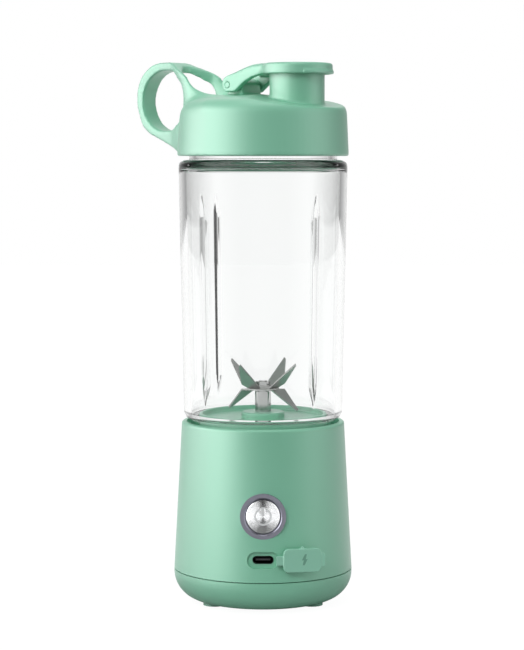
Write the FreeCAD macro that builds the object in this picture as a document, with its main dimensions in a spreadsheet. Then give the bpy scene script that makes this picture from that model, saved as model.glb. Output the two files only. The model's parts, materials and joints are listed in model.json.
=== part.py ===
import FreeCAD, Part
import math
import os
import re
import Sketcher
from FreeCAD import Placement, Rotation, Vector

# A cordless blender: a motor base that holds the cutter, a clear jar that screws down into the base, and
# a lid with a spout, a flip cap and a finger loop. Millimetres, +Z up. The origin is on the blender's axis
# at the level that the rubber feet stand on, and -Y is the front, where the power button is.

doc = FreeCAD.newDocument("portable_blender")
sheet = doc.addObject("Spreadsheet::Sheet", "sizes")

SIZES = {
    # base: outside
    "foot_lift": 1.2, "base_flare": 3.6, "rim_wall": 2.2, "rim_room": 1.8, "base_wall": 2.4,
    "base_foot_round": 12.5, "seam_height": 13.8, "seam_gap": 0.4, "rim_round": 1.2,
    "socket_floor": 2.8, "lip_height": 3.0,
    # feet and screws of the bottom cap
    "foot_radius": 5.0, "foot_inboard": 15.0, "foot_inset": 0.8, "post_radius": 3.2, "post_height": 12.0,
    "cap_screw_radius": 1.3, "cap_screw_head": 2.6, "cap_screw_head_height": 1.6, "cap_screw_reach": 8.0,
    # blade seat
    "seat_radius": 28.6, "seat_wall": 2.4, "seat_rise": 1.6, "seat_flange_width": 3.9,
    "seat_flange_height": 2.0, "seat_edge_rise": 2.2, "seat_edge_width": 1.6, "boss_radius": 9.65,
    "boss_height": 2.6, "hub_radius": 8.0, "hub_depth": 8.6,
    "seat_screw_out": 2.1, "seat_screw_radius": 0.9, "seat_screw_head": 1.6, "seat_screw_head_height": 1.4,
    "seat_screw_length": 3.9,
    # shaft line
    "shaft_radius": 2.5, "sleeve_radius": 3.625, "sleeve_above_boss": 9.0, "running_gap": 0.05,
    "bush_length": 5.0, "shaft_seal_length": 2.0, "sleeve_to_cutter": 0.4, "spigot_radius": 1.8,
    "coupling_radius": 4.5, "coupling_length": 8.0, "coupling_gap": 0.5, "shaft_in_coupling": 3.6,
    # cutter
    "blade_thick": 0.7, "washer_radius": 7.2, "washer_thick": 0.4, "nut_flats": 5.5, "nut_height": 1.6,
    "upper_start_out": 2.17, "upper_start_side": 3.97, "upper_bend_length": 6.0, "upper_bend_skew": 36.6,
    "upper_fold": 42.0, "upper_back_out": 2.3, "upper_back_side": 3.2, "upper_belly_along": 8.2,
    "upper_belly_out": 2.7, "upper_tip_along": 4.5, "upper_tip_out": 17.0,
    "lower_start_out": 9.3, "lower_start_side": 2.8, "lower_bend_length": 7.25, "lower_bend_skew": 129.4,
    "lower_fold": 45.0, "lower_tip_along": 1.3, "lower_tip_out": 12.8, "blade_tip_width": 1.0,
    "upper_azimuth": 10.9, "lower_azimuth": -16.0,
    # motor
    "motor_radius": 13.8, "motor_wall": 1.0, "motor_length": 34.0, "motor_cap_height": 3.0,
    "motor_boss_radius": 5.0, "motor_boss_height": 1.8, "motor_shaft_radius": 1.585,
    "armature_radius": 11.4, "armature_length": 19.0, "commutator_radius": 3.5, "magnet_thick": 0.9,
    "magnet_gap_width": 9.0, "terminal_width": 2.8, "terminal_thick": 0.5, "terminal_length": 5.0,
    "bracket_width": 14.0, "bracket_thick": 2.0, "bracket_overhang": 2.4, "bracket_drop": 6.6,
    "motor_screw_out": 3.0, "motor_screw_radius": 1.2, "ear_screw_out": 0.2, "ear_screw_radius": 1.0,
    "ear_screw_length": 1.8, "ear_screw_head": 2.2,
    # electrics
    "cell_room": 7.8, "cell_to_motor": 0.4, "cell_length": 50.0, "cell_headroom": 10.6, "cell_angle": 40.0,
    "cell_lift": 9.6, "cradle_wall": 1.4, "cradle_depth": 7.5, "cradle_foot": 4.6, "cell_slack": 0.15,
    "board_width": 34.0, "board_height": 43.0, "board_thick": 1.6, "board_behind": 4.75, "board_low": 17.0,
    "rail_grip": 1.5, "rail_depth": 4.5, "rail_reach": 19.5, "rail_slack": 0.1, "rail_short": 8.0,
    # power button
    "button_height": 44.0, "button_radius": 7.5, "bezel_radius": 10.0, "bezel_gap": 0.2,
    "button_travel": 0.8, "button_sink": 1.0, "bezel_sink": 1.2, "button_flange": 8.3,
    "bezel_lip": 2.3, "bezel_flange": 11.5, "bezel_flange_thick": 1.0, "bezel_depth": 5.0,
    "button_flange_thick": 1.0, "stem_radius": 2.0, "switch_side": 6.0, "switch_thick": 1.6,
    "plunger_radius": 1.75, "plunger_height": 0.9, "stem_clearance": 0.1,
    # charging port
    "port_height": 25.0, "port_inset": 0.7, "recess_width": 13.9, "recess_tall": 7.4, "recess_depth": 1.5,
    "usb_width": 9.0, "usb_tall": 3.3, "usb_wall": 0.35, "tongue_width": 6.4, "tongue_thick": 0.8,
    "tongue_back": 1.2, "usb_slack": 0.2,
    # port cover
    "cover_angle": 11.0, "cover_stand_off": 1.2, "cover_thick": 1.8, "cover_width": 16.8,
    "cover_tall": 10.3, "cover_round": 2.2, "strap_width": 4.2, "strap_reach": 0.9, "anchor_radius": 1.5,
    "anchor_bead": 2.3, "anchor_bead_thick": 1.0, "nub_depth": 1.0, "nub_width": 8.0, "nub_tall": 2.4,
    "tab_length": 1.8, "tab_tall": 6.4, "tab_round": 1.4, "bump_radius": 0.9,
    # jar
    "jar_foot_gap": 1.6, "collar_wall": 3.2, "jar_overhang": 3.1, "jar_flare": 2.2, "jar_wall": 3.2,
    "jar_height": 115.0, "jar_foot_round": 2.9, "jar_shoulder_round": 3.4, "jar_floor": 1.3,
    "jar_floor_round": 0.9, "jar_shoulder": 3.0, "jar_ceiling_round": 2.8, "neck_round": 1.2,
    "neck_step": 4.7, "neck_wall": 3.0, "neck_height": 16.5, "neck_thread_rise": 6.5,
    "collar_gap": 0.6, "rib_depth": 3.0, "rib_width": 2.2, "rib_low": 8.0,
    "rib_high": 99.0, "rib_taper": 9.0, "rib_turn": 41.0,
    # threads
    "thread_pitch": 4.0, "thread_base": 1.8, "thread_crest": 0.8, "jar_thread_depth": 1.2,
    "rim_thread_depth": 1.3, "neck_thread_depth": 1.3, "lid_thread_depth": 1.3, "thread_turns": 0.95,
    # seals
    "jar_seal_thick": 1.6, "jar_seal_width": 3.6, "gasket_thick": 2.0, "gasket_inset": 0.2,
    "seal_gap": 0.3,
    # lid
    "lid_foot_gap": 1.7, "lid_room": 2.0, "lid_wall": 3.2, "lid_draft": 1.1, "lid_rise": 24.0,
    "lid_shoulder_drop": 3.6, "lid_round": 6.5, "lid_shoulder_width": 15.1, "lid_crown_drop": 1.7,
    "lid_turn": -40.0, "lid_ledge_width": 5.6, "lid_ledge_rise": 3.0, "dome_wall": 3.8,
    "slope_start": -2.0, "slope_fall": 5.9, "slope_reach": 34.0,
    # spout and cap
    "spout_offset": 19.5, "spout_radius": 12.1, "spout_bore": 9.4, "spout_rise": 10.2, "spout_root": 5.4,
    "cap_radius": 15.6, "cap_lap": 2.15, "cap_rise": 2.7, "cap_wall": 1.8, "cap_roof": 2.1,
    "cap_round": 1.2, "thumb_lip": 0.5, "thumb_lip_height": 1.5, "thumb_lip_angle": 80.0,
    "plug_top_radius": 9.1, "plug_low_radius": 8.4, "plug_depth": 3.1, "plug_flange": 11.4,
    "plug_gap": 0.1,
    # hinge of the cap
    "hinge_offset": 12.5, "hinge_drop": 6.3, "hinge_eye": 3.1, "pin_radius": 1.2,
    "lug_half_width": 6.5, "cheek_gap": 0.3, "cheek_thick": 3.2, "lug_length": 6.1, "lug_over": 0.8,
    "lug_root": 2.3,
    # finger loop
    "loop_hole_out": 15.4, "loop_hole_rise": 25.35, "loop_hole_wide": 30.4, "loop_hole_tall": 27.4,
    "arm_spread": 13.4, "loop_gap_rise": 13.3,
}

# Outlines of the finger loop and of the cap's lever in the lid's own frame, where the loop points along
# -X and the spout along +X: (along, up or sideways, corner radius), with 0 for a sharp corner. The loop's
# start from the skirt's foot at the loop's side, the lever's from its hinge.
OUTLINES = {
    "loop_side": [
        (8.2, 0.2, 0), (0.2, 0.2, 6.0), (-19.6, 7.3, 18.0), (-30.6, 11.9, 12.0), (-34.6, 23.0, 15.0),
        (-34.6, 42.8, 15.5), (-12.0, 42.8, 8.0), (0.2, 37.6, 8.0), (7.2, 32.4, 8.0),
        (15.2, 29.4, 12.0), (30.2, 27.1, 0), (30.2, 24.8, 0), (8.2, 22.3, 0)],
    "loop_plan": [
        (-41.8, 4.75, 0), (-19.8, 4.75, 20.0), (-10.8, 6.8, 20.0), (-2.3, 11.4, 20.0), (5.2, 13.4, 0),
        (5.2, 16.0, 0), (-41.8, 16.0, 0)],
    "loop_gap": [
        (-7.4, 2.4, 2.2), (-4.6, 5.8, 6.0), (-0.8, 10.2, 5.0), (4.2, 10.9, 20.0), (16.2, 10.7, 20.0),
        (20.4, 10.5, 4.0), (31.2, 10.5, 0)],
    "lever_side": [
        (-3.0, -3.1, 2.9), (-3.0, 2.9, 2.6), (5.2, 6.4, 20.0), (13.7, 9.0, 20.0), (21.2, 9.3, 0),
        (24.2, 9.1, 0), (24.2, 4.25, 0), (18.8, 4.15, 0), (14.6, 3.4, 8.0), (9.7, 1.2, 8.0),
        (4.0, -3.1, 1.8)],
    "lever_room": [
        (-6.0, -5.0, 0), (-6.0, 12.0, 0), (5.0, 12.0, 0), (5.0, 4.4, 0), (16.1, 5.2, 0), (16.1, -5.0, 0)],
}
LETTERS = "abcdefghijklm"
for name, points in OUTLINES.items():
    for letter, (along, up, corner_radius) in zip(LETTERS, points):
        SIZES[f"{name}_{letter}_along"] = along
        SIZES[f"{name}_{letter}_up"] = up
        if corner_radius:
            SIZES[f"{name}_{letter}_round"] = corner_radius

# Sizes that follow from others, so that neighbours keep their clearances when one of them changes
FOLLOWS = {
    "collar_radius": "seat_radius + collar_gap + collar_wall",
    "rim_inner_radius": "collar_radius + rim_room",
    "base_rim_radius": "rim_inner_radius + rim_wall",
    "base_widest": "base_rim_radius + base_flare",
    "socket_depth": "thread_pitch * 2.5",
    "base_height": "cell_lift + cell_length + cell_headroom + socket_depth",
    "seat_flange": "seat_radius + seat_flange_width",
    "seat_screw_circle": "seat_radius + seat_screw_out",
    "ear_screw_circle": "seat_radius + ear_screw_out",
    "bracket_reach": "seat_radius + bracket_overhang",
    "motor_screw_circle": "motor_boss_radius + motor_screw_out",
    "foot_circle": "base_widest - foot_inboard",
    "cell_radius": "(base_widest - cell_room - motor_radius) / 2",
    "cell_circle": "motor_radius + cell_to_motor + cell_radius",
    "port_radius": "base_widest - port_inset",
    "button_face": "base_widest - button_sink",
    "bezel_face": "base_widest - bezel_sink",
    "bezel_back": "bezel_face - bezel_depth",
    "board_back": "bezel_back - board_behind",
    "jar_low_radius": "collar_radius + jar_overhang",
    "jar_top_radius": "jar_low_radius + jar_flare",
    "neck_radius": "jar_top_radius - neck_step",
    "neck_inner_radius": "neck_radius - neck_wall",
    "gasket_inner_radius": "neck_inner_radius + gasket_inset",
    "lid_inner_radius": "neck_radius + lid_room",
    "lid_skirt_radius": "lid_inner_radius + lid_wall",
    "lid_shoulder_radius": "lid_skirt_radius - lid_draft",
    "lid_ledge_radius": "lid_inner_radius - lid_ledge_width",
    "lid_crown": "lid_shoulder_radius - lid_shoulder_width",
    "cheeks_width": "(lug_half_width + cheek_gap + cheek_thick) * 2",
}

for row, (alias, value) in enumerate(SIZES.items(), start=1):
    sheet.set(f"A{row}", alias)
    sheet.set(f"B{row}", str(value))
    sheet.setAlias(f"B{row}", alias)
doc.recompute()

FUNCTIONS = {"cos", "sin", "tan", "sqrt", "min", "max"}


def bound(text):
    """The expression text with every size name pointed at the sheet."""
    def point(match):
        word = match.group(0)
        if word in FOLLOWS:
            return "(" + bound(FOLLOWS[word]) + ")"
        return word if word in FUNCTIONS else "sizes." + word
    return re.sub(r"[a-z][a-z_]*", point, str(text))


def number(text):
    value = sheet.evalExpression(bound(text))
    return float(getattr(value, "Value", value))


def bind(target, path, text):
    target.setExpression(path, bound(text))


# Levels along the axis, each from the level below it
UNDERSIDE = "foot_lift"
SEAM = "(foot_lift + seam_height)"
RIM = "(foot_lift + base_height)"
SOCKET = f"({RIM} - socket_depth)"
CEILING = f"({SOCKET} - socket_floor)"
SEAT_LOW = f"({CEILING} - seat_flange_height)"
SEAT_TOP = f"({RIM} + seat_rise)"
SEAT_EDGE = f"({SEAT_TOP} + seat_edge_rise)"
BOSS_TOP = f"({SEAT_TOP} + boss_height)"
SEAT_ROOF = f"({SEAT_TOP} - seat_wall)"
HUB_LOW = f"({SEAT_ROOF} - hub_depth)"
SLEEVE_LOW = f"({HUB_LOW} + bush_length + shaft_seal_length)"
SLEEVE_TOP = f"({BOSS_TOP} + sleeve_above_boss)"
CUTTER = f"({SLEEVE_TOP} + sleeve_to_cutter)"
WASHER = f"({CUTTER} + blade_thick)"
UPPER_BLADE = f"({WASHER} + washer_thick)"
CROSS_BLADE = f"({UPPER_BLADE} + blade_thick)"
NUT_LOW = f"({CROSS_BLADE} + blade_thick)"
COUPLING_LOW = f"({HUB_LOW} - coupling_gap - coupling_length)"
SHAFTS_MEET = f"({COUPLING_LOW} + coupling_length - shaft_in_coupling)"
BRACKET_LOW = f"({SEAT_LOW} - bracket_drop)"
MOTOR_LOW = f"({BRACKET_LOW} - motor_length)"
JAR_FOOT = f"({RIM} + jar_foot_gap)"
COLLAR_LOW = f"({SOCKET} + jar_seal_thick)"
JAR_TOP = f"({JAR_FOOT} + jar_height)"
NECK_TOP = f"({JAR_TOP} + neck_height)"
LID_FOOT = f"({JAR_TOP} + lid_foot_gap)"
LEDGE = f"({NECK_TOP} + gasket_thick)"
SHOULDER = f"({LID_FOOT} + lid_rise)"
CROWN = f"({SHOULDER} + lid_shoulder_drop)"
SPOUT_TOP = f"({CROWN} + spout_rise)"
CAP_LOW = f"({SPOUT_TOP} - cap_lap)"
CAP_TOP = f"({SPOUT_TOP} + cap_rise)"
HINGE = f"({SPOUT_TOP} - hinge_drop)"
WALL_SLOPE = "((base_widest - base_rim_radius) / (base_height - seam_height))"


# ---------------------------------------------------------------- drawing helpers

def new_body(label):
    body = doc.addObject("PartDesign::Body", label)
    body.Label = label
    return body


def sketch_on(body, plane, offset="0"):
    """A sketch on one of the body's own origin planes, moved along that plane's normal by offset."""
    sketch = body.newObject("Sketcher::SketchObject", body.Label + "_sketch")
    origin_plane = [item for item in body.Origin.OriginFeatures if item.Role == plane][0]
    sketch.AttachmentSupport = [(origin_plane, "")]
    sketch.MapMode = "FlatFace"
    if offset != "0":
        bind(sketch, "AttachmentOffset.Base.z", offset)
    return sketch


def place_point(sketch, geometry, position, across, up):
    """Holds a sketch point at the two expressions, measured from the sketch's origin."""
    for kind, text, axis in (("DistanceX", across, -2), ("DistanceY", up, -1)):
        if str(text) == "0":
            sketch.addConstraint(Sketcher.Constraint("PointOnObject", geometry, position, axis))
            continue
        index = sketch.addConstraint(Sketcher.Constraint(kind, -1, 1, geometry, position, number(text)))
        sketch.setExpression(f"Constraints[{index}]", bound(text))


def outline(sketch, corners):
    """A closed outline. A corner is (across, up), or (across, up, radius) where it is rounded."""
    points = [Vector(number(corner[0]), number(corner[1]), 0) for corner in corners]
    count = len(points)
    arrive, leave, rounds = [], [], []
    for index, corner in enumerate(corners):
        here = points[index]
        if len(corner) == 2:
            arrive.append(here)
            leave.append(here)
            rounds.append(None)
            continue
        back = (points[index - 1] - here).normalize()
        ahead = (points[(index + 1) % count] - here).normalize()
        half = back.getAngle(ahead) / 2
        radius = number(corner[2])
        reach = radius / math.tan(half)
        centre = here + (back + ahead).normalize() * (radius / math.sin(half))
        arrive.append(here + back * reach)
        leave.append(here + ahead * reach)
        turns_left = back.cross(ahead).z < 0
        rounds.append((centre, radius, turns_left))
    lines = []
    for index in range(count):
        segment = Part.LineSegment(leave[index], arrive[(index + 1) % count])
        lines.append(sketch.addGeometry(segment, False))
    for index, corner in enumerate(corners):
        before, after = lines[index - 1], lines[index]
        if rounds[index] is None:
            sketch.addConstraint(Sketcher.Constraint("Coincident", before, 2, after, 1))
            place_point(sketch, after, 1, corner[0], corner[1])
            continue
        centre, radius, turns_left = rounds[index]
        first, last = (arrive[index], leave[index]) if turns_left else (leave[index], arrive[index])
        start = math.atan2(first.y - centre.y, first.x - centre.x)
        stop = math.atan2(last.y - centre.y, last.x - centre.x)
        circle = Part.Circle(centre, Vector(0, 0, 1), radius)
        arc = sketch.addGeometry(Part.ArcOfCircle(circle, start, stop), False)
        arrive_end, leave_end = (1, 2) if turns_left else (2, 1)
        corner_point = sketch.addGeometry(Part.Point(points[index]), True)
        sketch.addConstraint(Sketcher.Constraint("Tangent", before, 2, arc, arrive_end))
        sketch.addConstraint(Sketcher.Constraint("Tangent", after, 1, arc, leave_end))
        sketch.addConstraint(Sketcher.Constraint("PointOnObject", corner_point, 1, before))
        sketch.addConstraint(Sketcher.Constraint("PointOnObject", corner_point, 1, after))
        place_point(sketch, corner_point, 1, corner[0], corner[1])
        held = sketch.addConstraint(Sketcher.Constraint("Radius", arc, radius))
        sketch.setExpression(f"Constraints[{held}]", bound(corner[2]))


def circle(sketch, radius, across="0", up="0"):
    centre = Vector(number(across), number(up), 0)
    ring = sketch.addGeometry(Part.Circle(centre, Vector(0, 0, 1), number(radius)), False)
    place_point(sketch, ring, 3, across, up)
    held = sketch.addConstraint(Sketcher.Constraint("Radius", ring, number(radius)))
    sketch.setExpression(f"Constraints[{held}]", bound(radius))


def box_corners(low_x, low_y, high_x, high_y, radius=None):
    corners = [(low_x, low_y), (high_x, low_y), (high_x, high_y), (low_x, high_y)]
    return corners if radius is None else [(x, y, radius) for x, y in corners]


def slot_corners(centre_x, centre_y, width, tall, radius):
    return box_corners(f"{centre_x} - {width} / 2", f"{centre_y} - {tall} / 2",
                       f"{centre_x} + {width} / 2", f"{centre_y} + {tall} / 2", radius)


def grow(body, kind, sketch, length=None, both_ways=False, backwards=False):
    """Adds a Pad or Pocket of the sketch; a Pocket without a length goes through everything."""
    before = body.Tip.Shape.Volume if body.Tip and hasattr(body.Tip, "Shape") else 0.0
    feature = body.newObject("PartDesign::" + kind, f"{body.Label}_{kind.lower()}")
    feature.Profile = sketch
    feature.Reversed = backwards
    feature.SideType = "Symmetric" if both_ways else "One side"
    if length is None:
        feature.Type = "ThroughAll"
    else:
        bind(feature, "Length", length)
    doc.recompute()
    check_step(body, kind == "Pad", before, feature)
    return feature


def turn(body, kind, corners, across="0", angle=None):
    """Adds a Revolution or Groove of an outline of (radius, height) about a line parallel to Z."""
    before = body.Tip.Shape.Volume if body.Tip and hasattr(body.Tip, "Shape") else 0.0
    sketch = sketch_on(body, "XZ_Plane")
    if across != "0":
        bind(sketch, "AttachmentOffset.Base.x", across)
    outline(sketch, corners)
    feature = body.newObject("PartDesign::" + kind, f"{body.Label}_{kind.lower()}")
    feature.Profile = sketch
    feature.ReferenceAxis = (sketch, ["V_Axis"])
    if angle is None:
        feature.Angle = 360
    else:
        feature.Midplane = True
        bind(feature, "Angle", angle)
    doc.recompute()
    check_step(body, kind == "Revolution", before, feature)
    return feature


def check_step(body, adds, before, feature):
    after = feature.Shape.Volume
    if (adds and after <= before) or (not adds and after >= before):
        raise ValueError(f"{feature.Name} leaves {body.Label} at {after:.1f}, from {before:.1f}")


def thread(body, radius, height, depth, inward=False):
    """A raised right-hand thread; its profile starts a little inside the wall that carries it."""
    bite = 0.3
    way = "-" if inward else "+"
    root = f"{radius} {'+' if inward else '-'} {bite}"
    crest = f"{radius} {way} {depth}"
    sketch = sketch_on(body, "XZ_Plane")
    outline(sketch, [(root, f"{height} - thread_base / 2"), (crest, f"{height} - thread_crest / 2"),
                     (crest, f"{height} + thread_crest / 2"), (root, f"{height} + thread_base / 2")])
    before = body.Tip.Shape.Volume
    helix = body.newObject("PartDesign::AdditiveHelix", body.Label + "_thread")
    helix.Profile = sketch
    helix.ReferenceAxis = (sketch, ["V_Axis"])
    helix.Mode = "pitch-turns-angle"
    bind(helix, "Pitch", "thread_pitch")
    bind(helix, "Turns", "thread_turns")
    doc.recompute()
    check_step(body, True, before, helix)


def around_axis(body, feature, count):
    """Repeats a feature evenly about the body's Z axis."""
    pattern = body.newObject("PartDesign::PolarPattern", body.Label + "_pattern")
    z_axis = [item for item in body.Origin.OriginFeatures if item.Role == "Z_Axis"][0]
    pattern.Originals = [feature]
    pattern.Axis = (z_axis, [""])
    pattern.Angle = 360
    pattern.Occurrences = count
    body.Tip = pattern
    doc.recompute()
    return pattern


def across_middle(body, feature):
    """Repeats a feature on the other side of the body's own YZ plane."""
    mirror = body.newObject("PartDesign::Mirrored", body.Label + "_mirror")
    plane = [item for item in body.Origin.OriginFeatures if item.Role == "YZ_Plane"][0]
    mirror.Originals = [feature]
    mirror.MirrorPlane = (plane, [""])
    body.Tip = mirror
    doc.recompute()
    return mirror


def turned(label, corners):
    body = new_body(label)
    turn(body, "Revolution", corners)
    return body


def yawed(body, angle):
    """Turns a finished body about Z by the named angle."""
    body.Placement = Placement(Vector(), Rotation(Vector(0, 0, 1), number(angle)))
    bind(body, "Placement.Rotation.Angle", angle)
    return body


def turned_about_y(label, corners, height):
    """A turned body whose axis points forward, along -Y, at a height above the floor."""
    body = turned(label, corners)
    body.Placement = Placement(Vector(0, 0, number(height)), Rotation(Vector(1, 0, 0), 90))
    bind(body, "Placement.Base.z", height)
    return body


def screws(label, places, head_low, head_radius, head_height, shank_radius, shank_length):
    """One screw per place, (x, y) each, heads down, as separate solids of one node."""
    parts = []
    for index, (x, y) in enumerate(places):
        head = doc.addObject("Part::Cylinder", f"{label}_head_{index}")
        bind(head, "Radius", head_radius)
        bind(head, "Height", head_height)
        bind(head, "Placement.Base.x", x)
        bind(head, "Placement.Base.y", y)
        bind(head, "Placement.Base.z", head_low)
        shank = doc.addObject("Part::Cylinder", f"{label}_shank_{index}")
        bind(shank, "Radius", shank_radius)
        bind(shank, "Height", f"{head_height} + {shank_length}")
        bind(shank, "Placement.Base.x", x)
        bind(shank, "Placement.Base.y", y)
        bind(shank, "Placement.Base.z", head_low)
        drive = doc.addObject("Part::Box", f"{label}_drive_{index}")
        bind(drive, "Length", f"{head_radius} * 1.2")
        bind(drive, "Width", f"{head_radius} * 0.3")
        bind(drive, "Height", f"{head_height} * 0.4")
        bind(drive, "Placement.Base.x", f"{x} - {head_radius} * 0.6")
        bind(drive, "Placement.Base.y", f"{y} - {head_radius} * 0.15")
        bind(drive, "Placement.Base.z", head_low)
        whole = doc.addObject("Part::Fuse", f"{label}_whole_{index}")
        whole.Base, whole.Tool = head, shank
        slotted = doc.addObject("Part::Cut", f"{label}_slotted_{index}")
        slotted.Base, slotted.Tool = whole, drive
        parts.append(slotted)
    group = doc.addObject("Part::Compound", label)
    group.Label = label
    group.Links = parts
    return group


def polar(radius, angle):
    return f"({radius} * cos({angle}))", f"({radius} * sin({angle}))"


nodes = []


# ---------------------------------------------------------------- base

def base_radius(height):
    return f"(base_widest - {WALL_SLOPE} * ({height} - {SEAM}))"


FOOT_ANGLES = (90, 210, 330)
FOOT_PLACES = [polar("foot_circle", angle) for angle in FOOT_ANGLES]
SEAT_SCREW_PLACES = [polar("seat_screw_circle", angle) for angle in (45, 135, 225, 315)]
EAR_PLACES = [("ear_screw_circle", "0"), ("-ear_screw_circle", "0")]
MOTOR_SCREW_PLACES = [("motor_screw_circle", "0"), ("-motor_screw_circle", "0")]
POST_LOW = f"({SEAM} + lip_height + seal_gap)"
FRONT = "XZ_Plane"


def radial_corners(angle, near, far, half_width):
    """A rectangle that runs outward from the axis at an angle."""
    corners = []
    for radius, side in ((near, "-"), (far, "-"), (far, "+"), (near, "+")):
        corners.append((f"{radius} * cos({angle}) {'+' if side == '-' else '-'} {half_width} * sin({angle})",
                        f"{radius} * sin({angle}) {side} {half_width} * cos({angle})"))
    return corners


def make_base_housing():
    body = new_body("base_housing")
    low = f"({SEAM} + seam_gap / 2)"
    wall_inside = f"({base_radius(CEILING)} - base_wall)"
    turn(body, "Revolution", [
        (base_radius(low), low), ("base_rim_radius", RIM, "rim_round"), ("rim_inner_radius", RIM),
        ("rim_inner_radius", SOCKET), ("seat_radius + seal_gap", SOCKET), ("seat_radius + seal_gap", CEILING),
        (wall_inside, CEILING), (f"{base_radius(low)} - base_wall", low)])
    thread(body, "rim_inner_radius", f"({SOCKET} + thread_pitch * 1.3)", "rim_thread_depth", inward=True)
    return body


def make_screw_posts(body):
    """Posts for the bottom cap's screws, each joined to the wall by a web, with blind pilot holes."""
    wall = f"({base_radius(POST_LOW)} - base_wall / 2 - post_height * {WALL_SLOPE})"
    for angle, (x, y) in zip(FOOT_ANGLES, FOOT_PLACES):
        web = sketch_on(body, "XY_Plane", POST_LOW)
        outline(web, radial_corners(angle, "foot_circle", wall, "base_wall / 2"))
        grow(body, "Pad", web, "post_height")
        post = sketch_on(body, "XY_Plane", POST_LOW)
        circle(post, "post_radius", x, y)
        grow(body, "Pad", post, "post_height")
        pilot = sketch_on(body, "XY_Plane", POST_LOW)
        circle(pilot, "cap_screw_radius", x, y)
        grow(body, "Pocket", pilot, "post_height - base_wall", backwards=True)


def make_board_rails(body):
    """Two upright rails that hold the edges of the control board."""
    for side in ("", "-"):
        inner, outer = f"{side}(board_width / 2 - rail_grip)", f"{side}rail_reach"
        low_x, high_x = (inner, outer) if side == "" else (outer, inner)
        rail = sketch_on(body, "XY_Plane", POST_LOW)
        front = "-(board_back + board_thick / 2 + rail_depth / 2)"
        outline(rail, box_corners(low_x, front, high_x, f"{front} + rail_depth"))
        grow(body, "Pad", rail, "board_height - rail_short")
    slot = sketch_on(body, "XY_Plane", "board_low")
    half = "board_width / 2 + rail_slack"
    outline(slot, box_corners(f"-({half})", "-(board_back + board_thick + rail_slack)",
                              half, "-(board_back - rail_slack)"))
    grow(body, "Pocket", slot, "board_height", backwards=True)


def make_base_openings(body):
    """The hole for the button bezel, the stadium recess of the port and its slot, and the screw holes."""
    bezel = sketch_on(body, FRONT)
    circle(bezel, "bezel_radius", "0", "button_height")
    grow(body, "Pocket", bezel, "base_widest + 5", backwards=True)
    recess = sketch_on(body, FRONT, "port_radius - recess_depth")
    outline(recess, slot_corners("0", "port_height", "recess_width", "recess_tall", "recess_tall / 2 - 0.1"))
    grow(body, "Pocket", recess, "recess_depth + 5", backwards=True)
    slot = sketch_on(body, FRONT)
    outline(slot, slot_corners("0", "port_height", "(usb_width + usb_slack)", "(usb_tall + usb_slack)",
                               "usb_tall / 2"))
    grow(body, "Pocket", slot, "base_widest + 5", backwards=True)
    for x, y in SEAT_SCREW_PLACES:
        hole = sketch_on(body, "XY_Plane", CEILING)
        circle(hole, "seat_screw_radius", x, y)
        grow(body, "Pocket", hole, "seat_screw_length - seat_flange_height", backwards=True)


def make_anchor_hole(body):
    """The round hole in which the port cover's peg turns, square to the wall."""
    hole = sketch_on(body, FRONT)
    turn_up = Rotation(Vector(0, 1, 0), number("cover_angle"))
    hole.AttachmentOffset = Placement(Vector(0, number("port_height"), 0), turn_up)
    bind(hole, "AttachmentOffset.Base.y", "port_height")
    bind(hole, "AttachmentOffset.Rotation.Angle", "cover_angle")
    circle(hole, "anchor_radius + running_gap")
    grow(body, "Pocket", hole, "base_widest + 5", backwards=True)


housing = make_base_housing()
make_screw_posts(housing)
make_board_rails(housing)
make_base_openings(housing)
make_anchor_hole(housing)
nodes.append(housing)


def make_bottom_cap():
    """A round-bottomed dish with a lip that nests inside the housing and a boss over each foot."""
    body = new_body("bottom_cap")
    top = f"({SEAM} - seam_gap / 2)"
    lip_outer = f"({base_radius(POST_LOW)} - base_wall - seal_gap)"
    floor = f"({UNDERSIDE} + base_wall)"
    turn(body, "Revolution", [
        ("0", UNDERSIDE), ("base_widest", UNDERSIDE, "base_foot_round"), ("base_widest", top),
        (lip_outer, top), (lip_outer, f"{SEAM} + lip_height"),
        (f"{lip_outer} - base_wall / 1.5", f"{SEAM} + lip_height"),
        (f"{lip_outer} - base_wall / 1.5", floor, "base_foot_round - base_wall"), ("0", floor)])
    head_roof = f"({UNDERSIDE} + foot_inset + cap_screw_head_height + seal_gap)"
    for x, y in FOOT_PLACES:
        boss = sketch_on(body, "XY_Plane", f"{floor} - base_wall / 2")
        circle(boss, "cap_screw_head + base_wall", x, y)
        grow(body, "Pad", boss, f"{POST_LOW} - {floor} + base_wall / 2 - seal_gap")
        for radius, roof in (("foot_radius", f"({UNDERSIDE} + foot_inset)"), ("cap_screw_head", head_roof),
                             ("cap_screw_radius + seal_gap", POST_LOW)):
            hole = sketch_on(body, "XY_Plane")
            circle(hole, radius, x, y)
            grow(body, "Pocket", hole, roof, backwards=True)
    return body


def make_feet():
    feet = []
    for index, (x, y) in enumerate(FOOT_PLACES):
        foot = new_body(f"foot_{index}")
        pad = sketch_on(foot, "XY_Plane")
        circle(pad, "foot_radius", x, y)
        grow(foot, "Pad", pad, f"{UNDERSIDE} + foot_inset")
        feet.append(foot)
    group = doc.addObject("Part::Compound", "rubber_feet")
    group.Label = "rubber_feet"
    group.Links = feet
    return group


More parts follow.
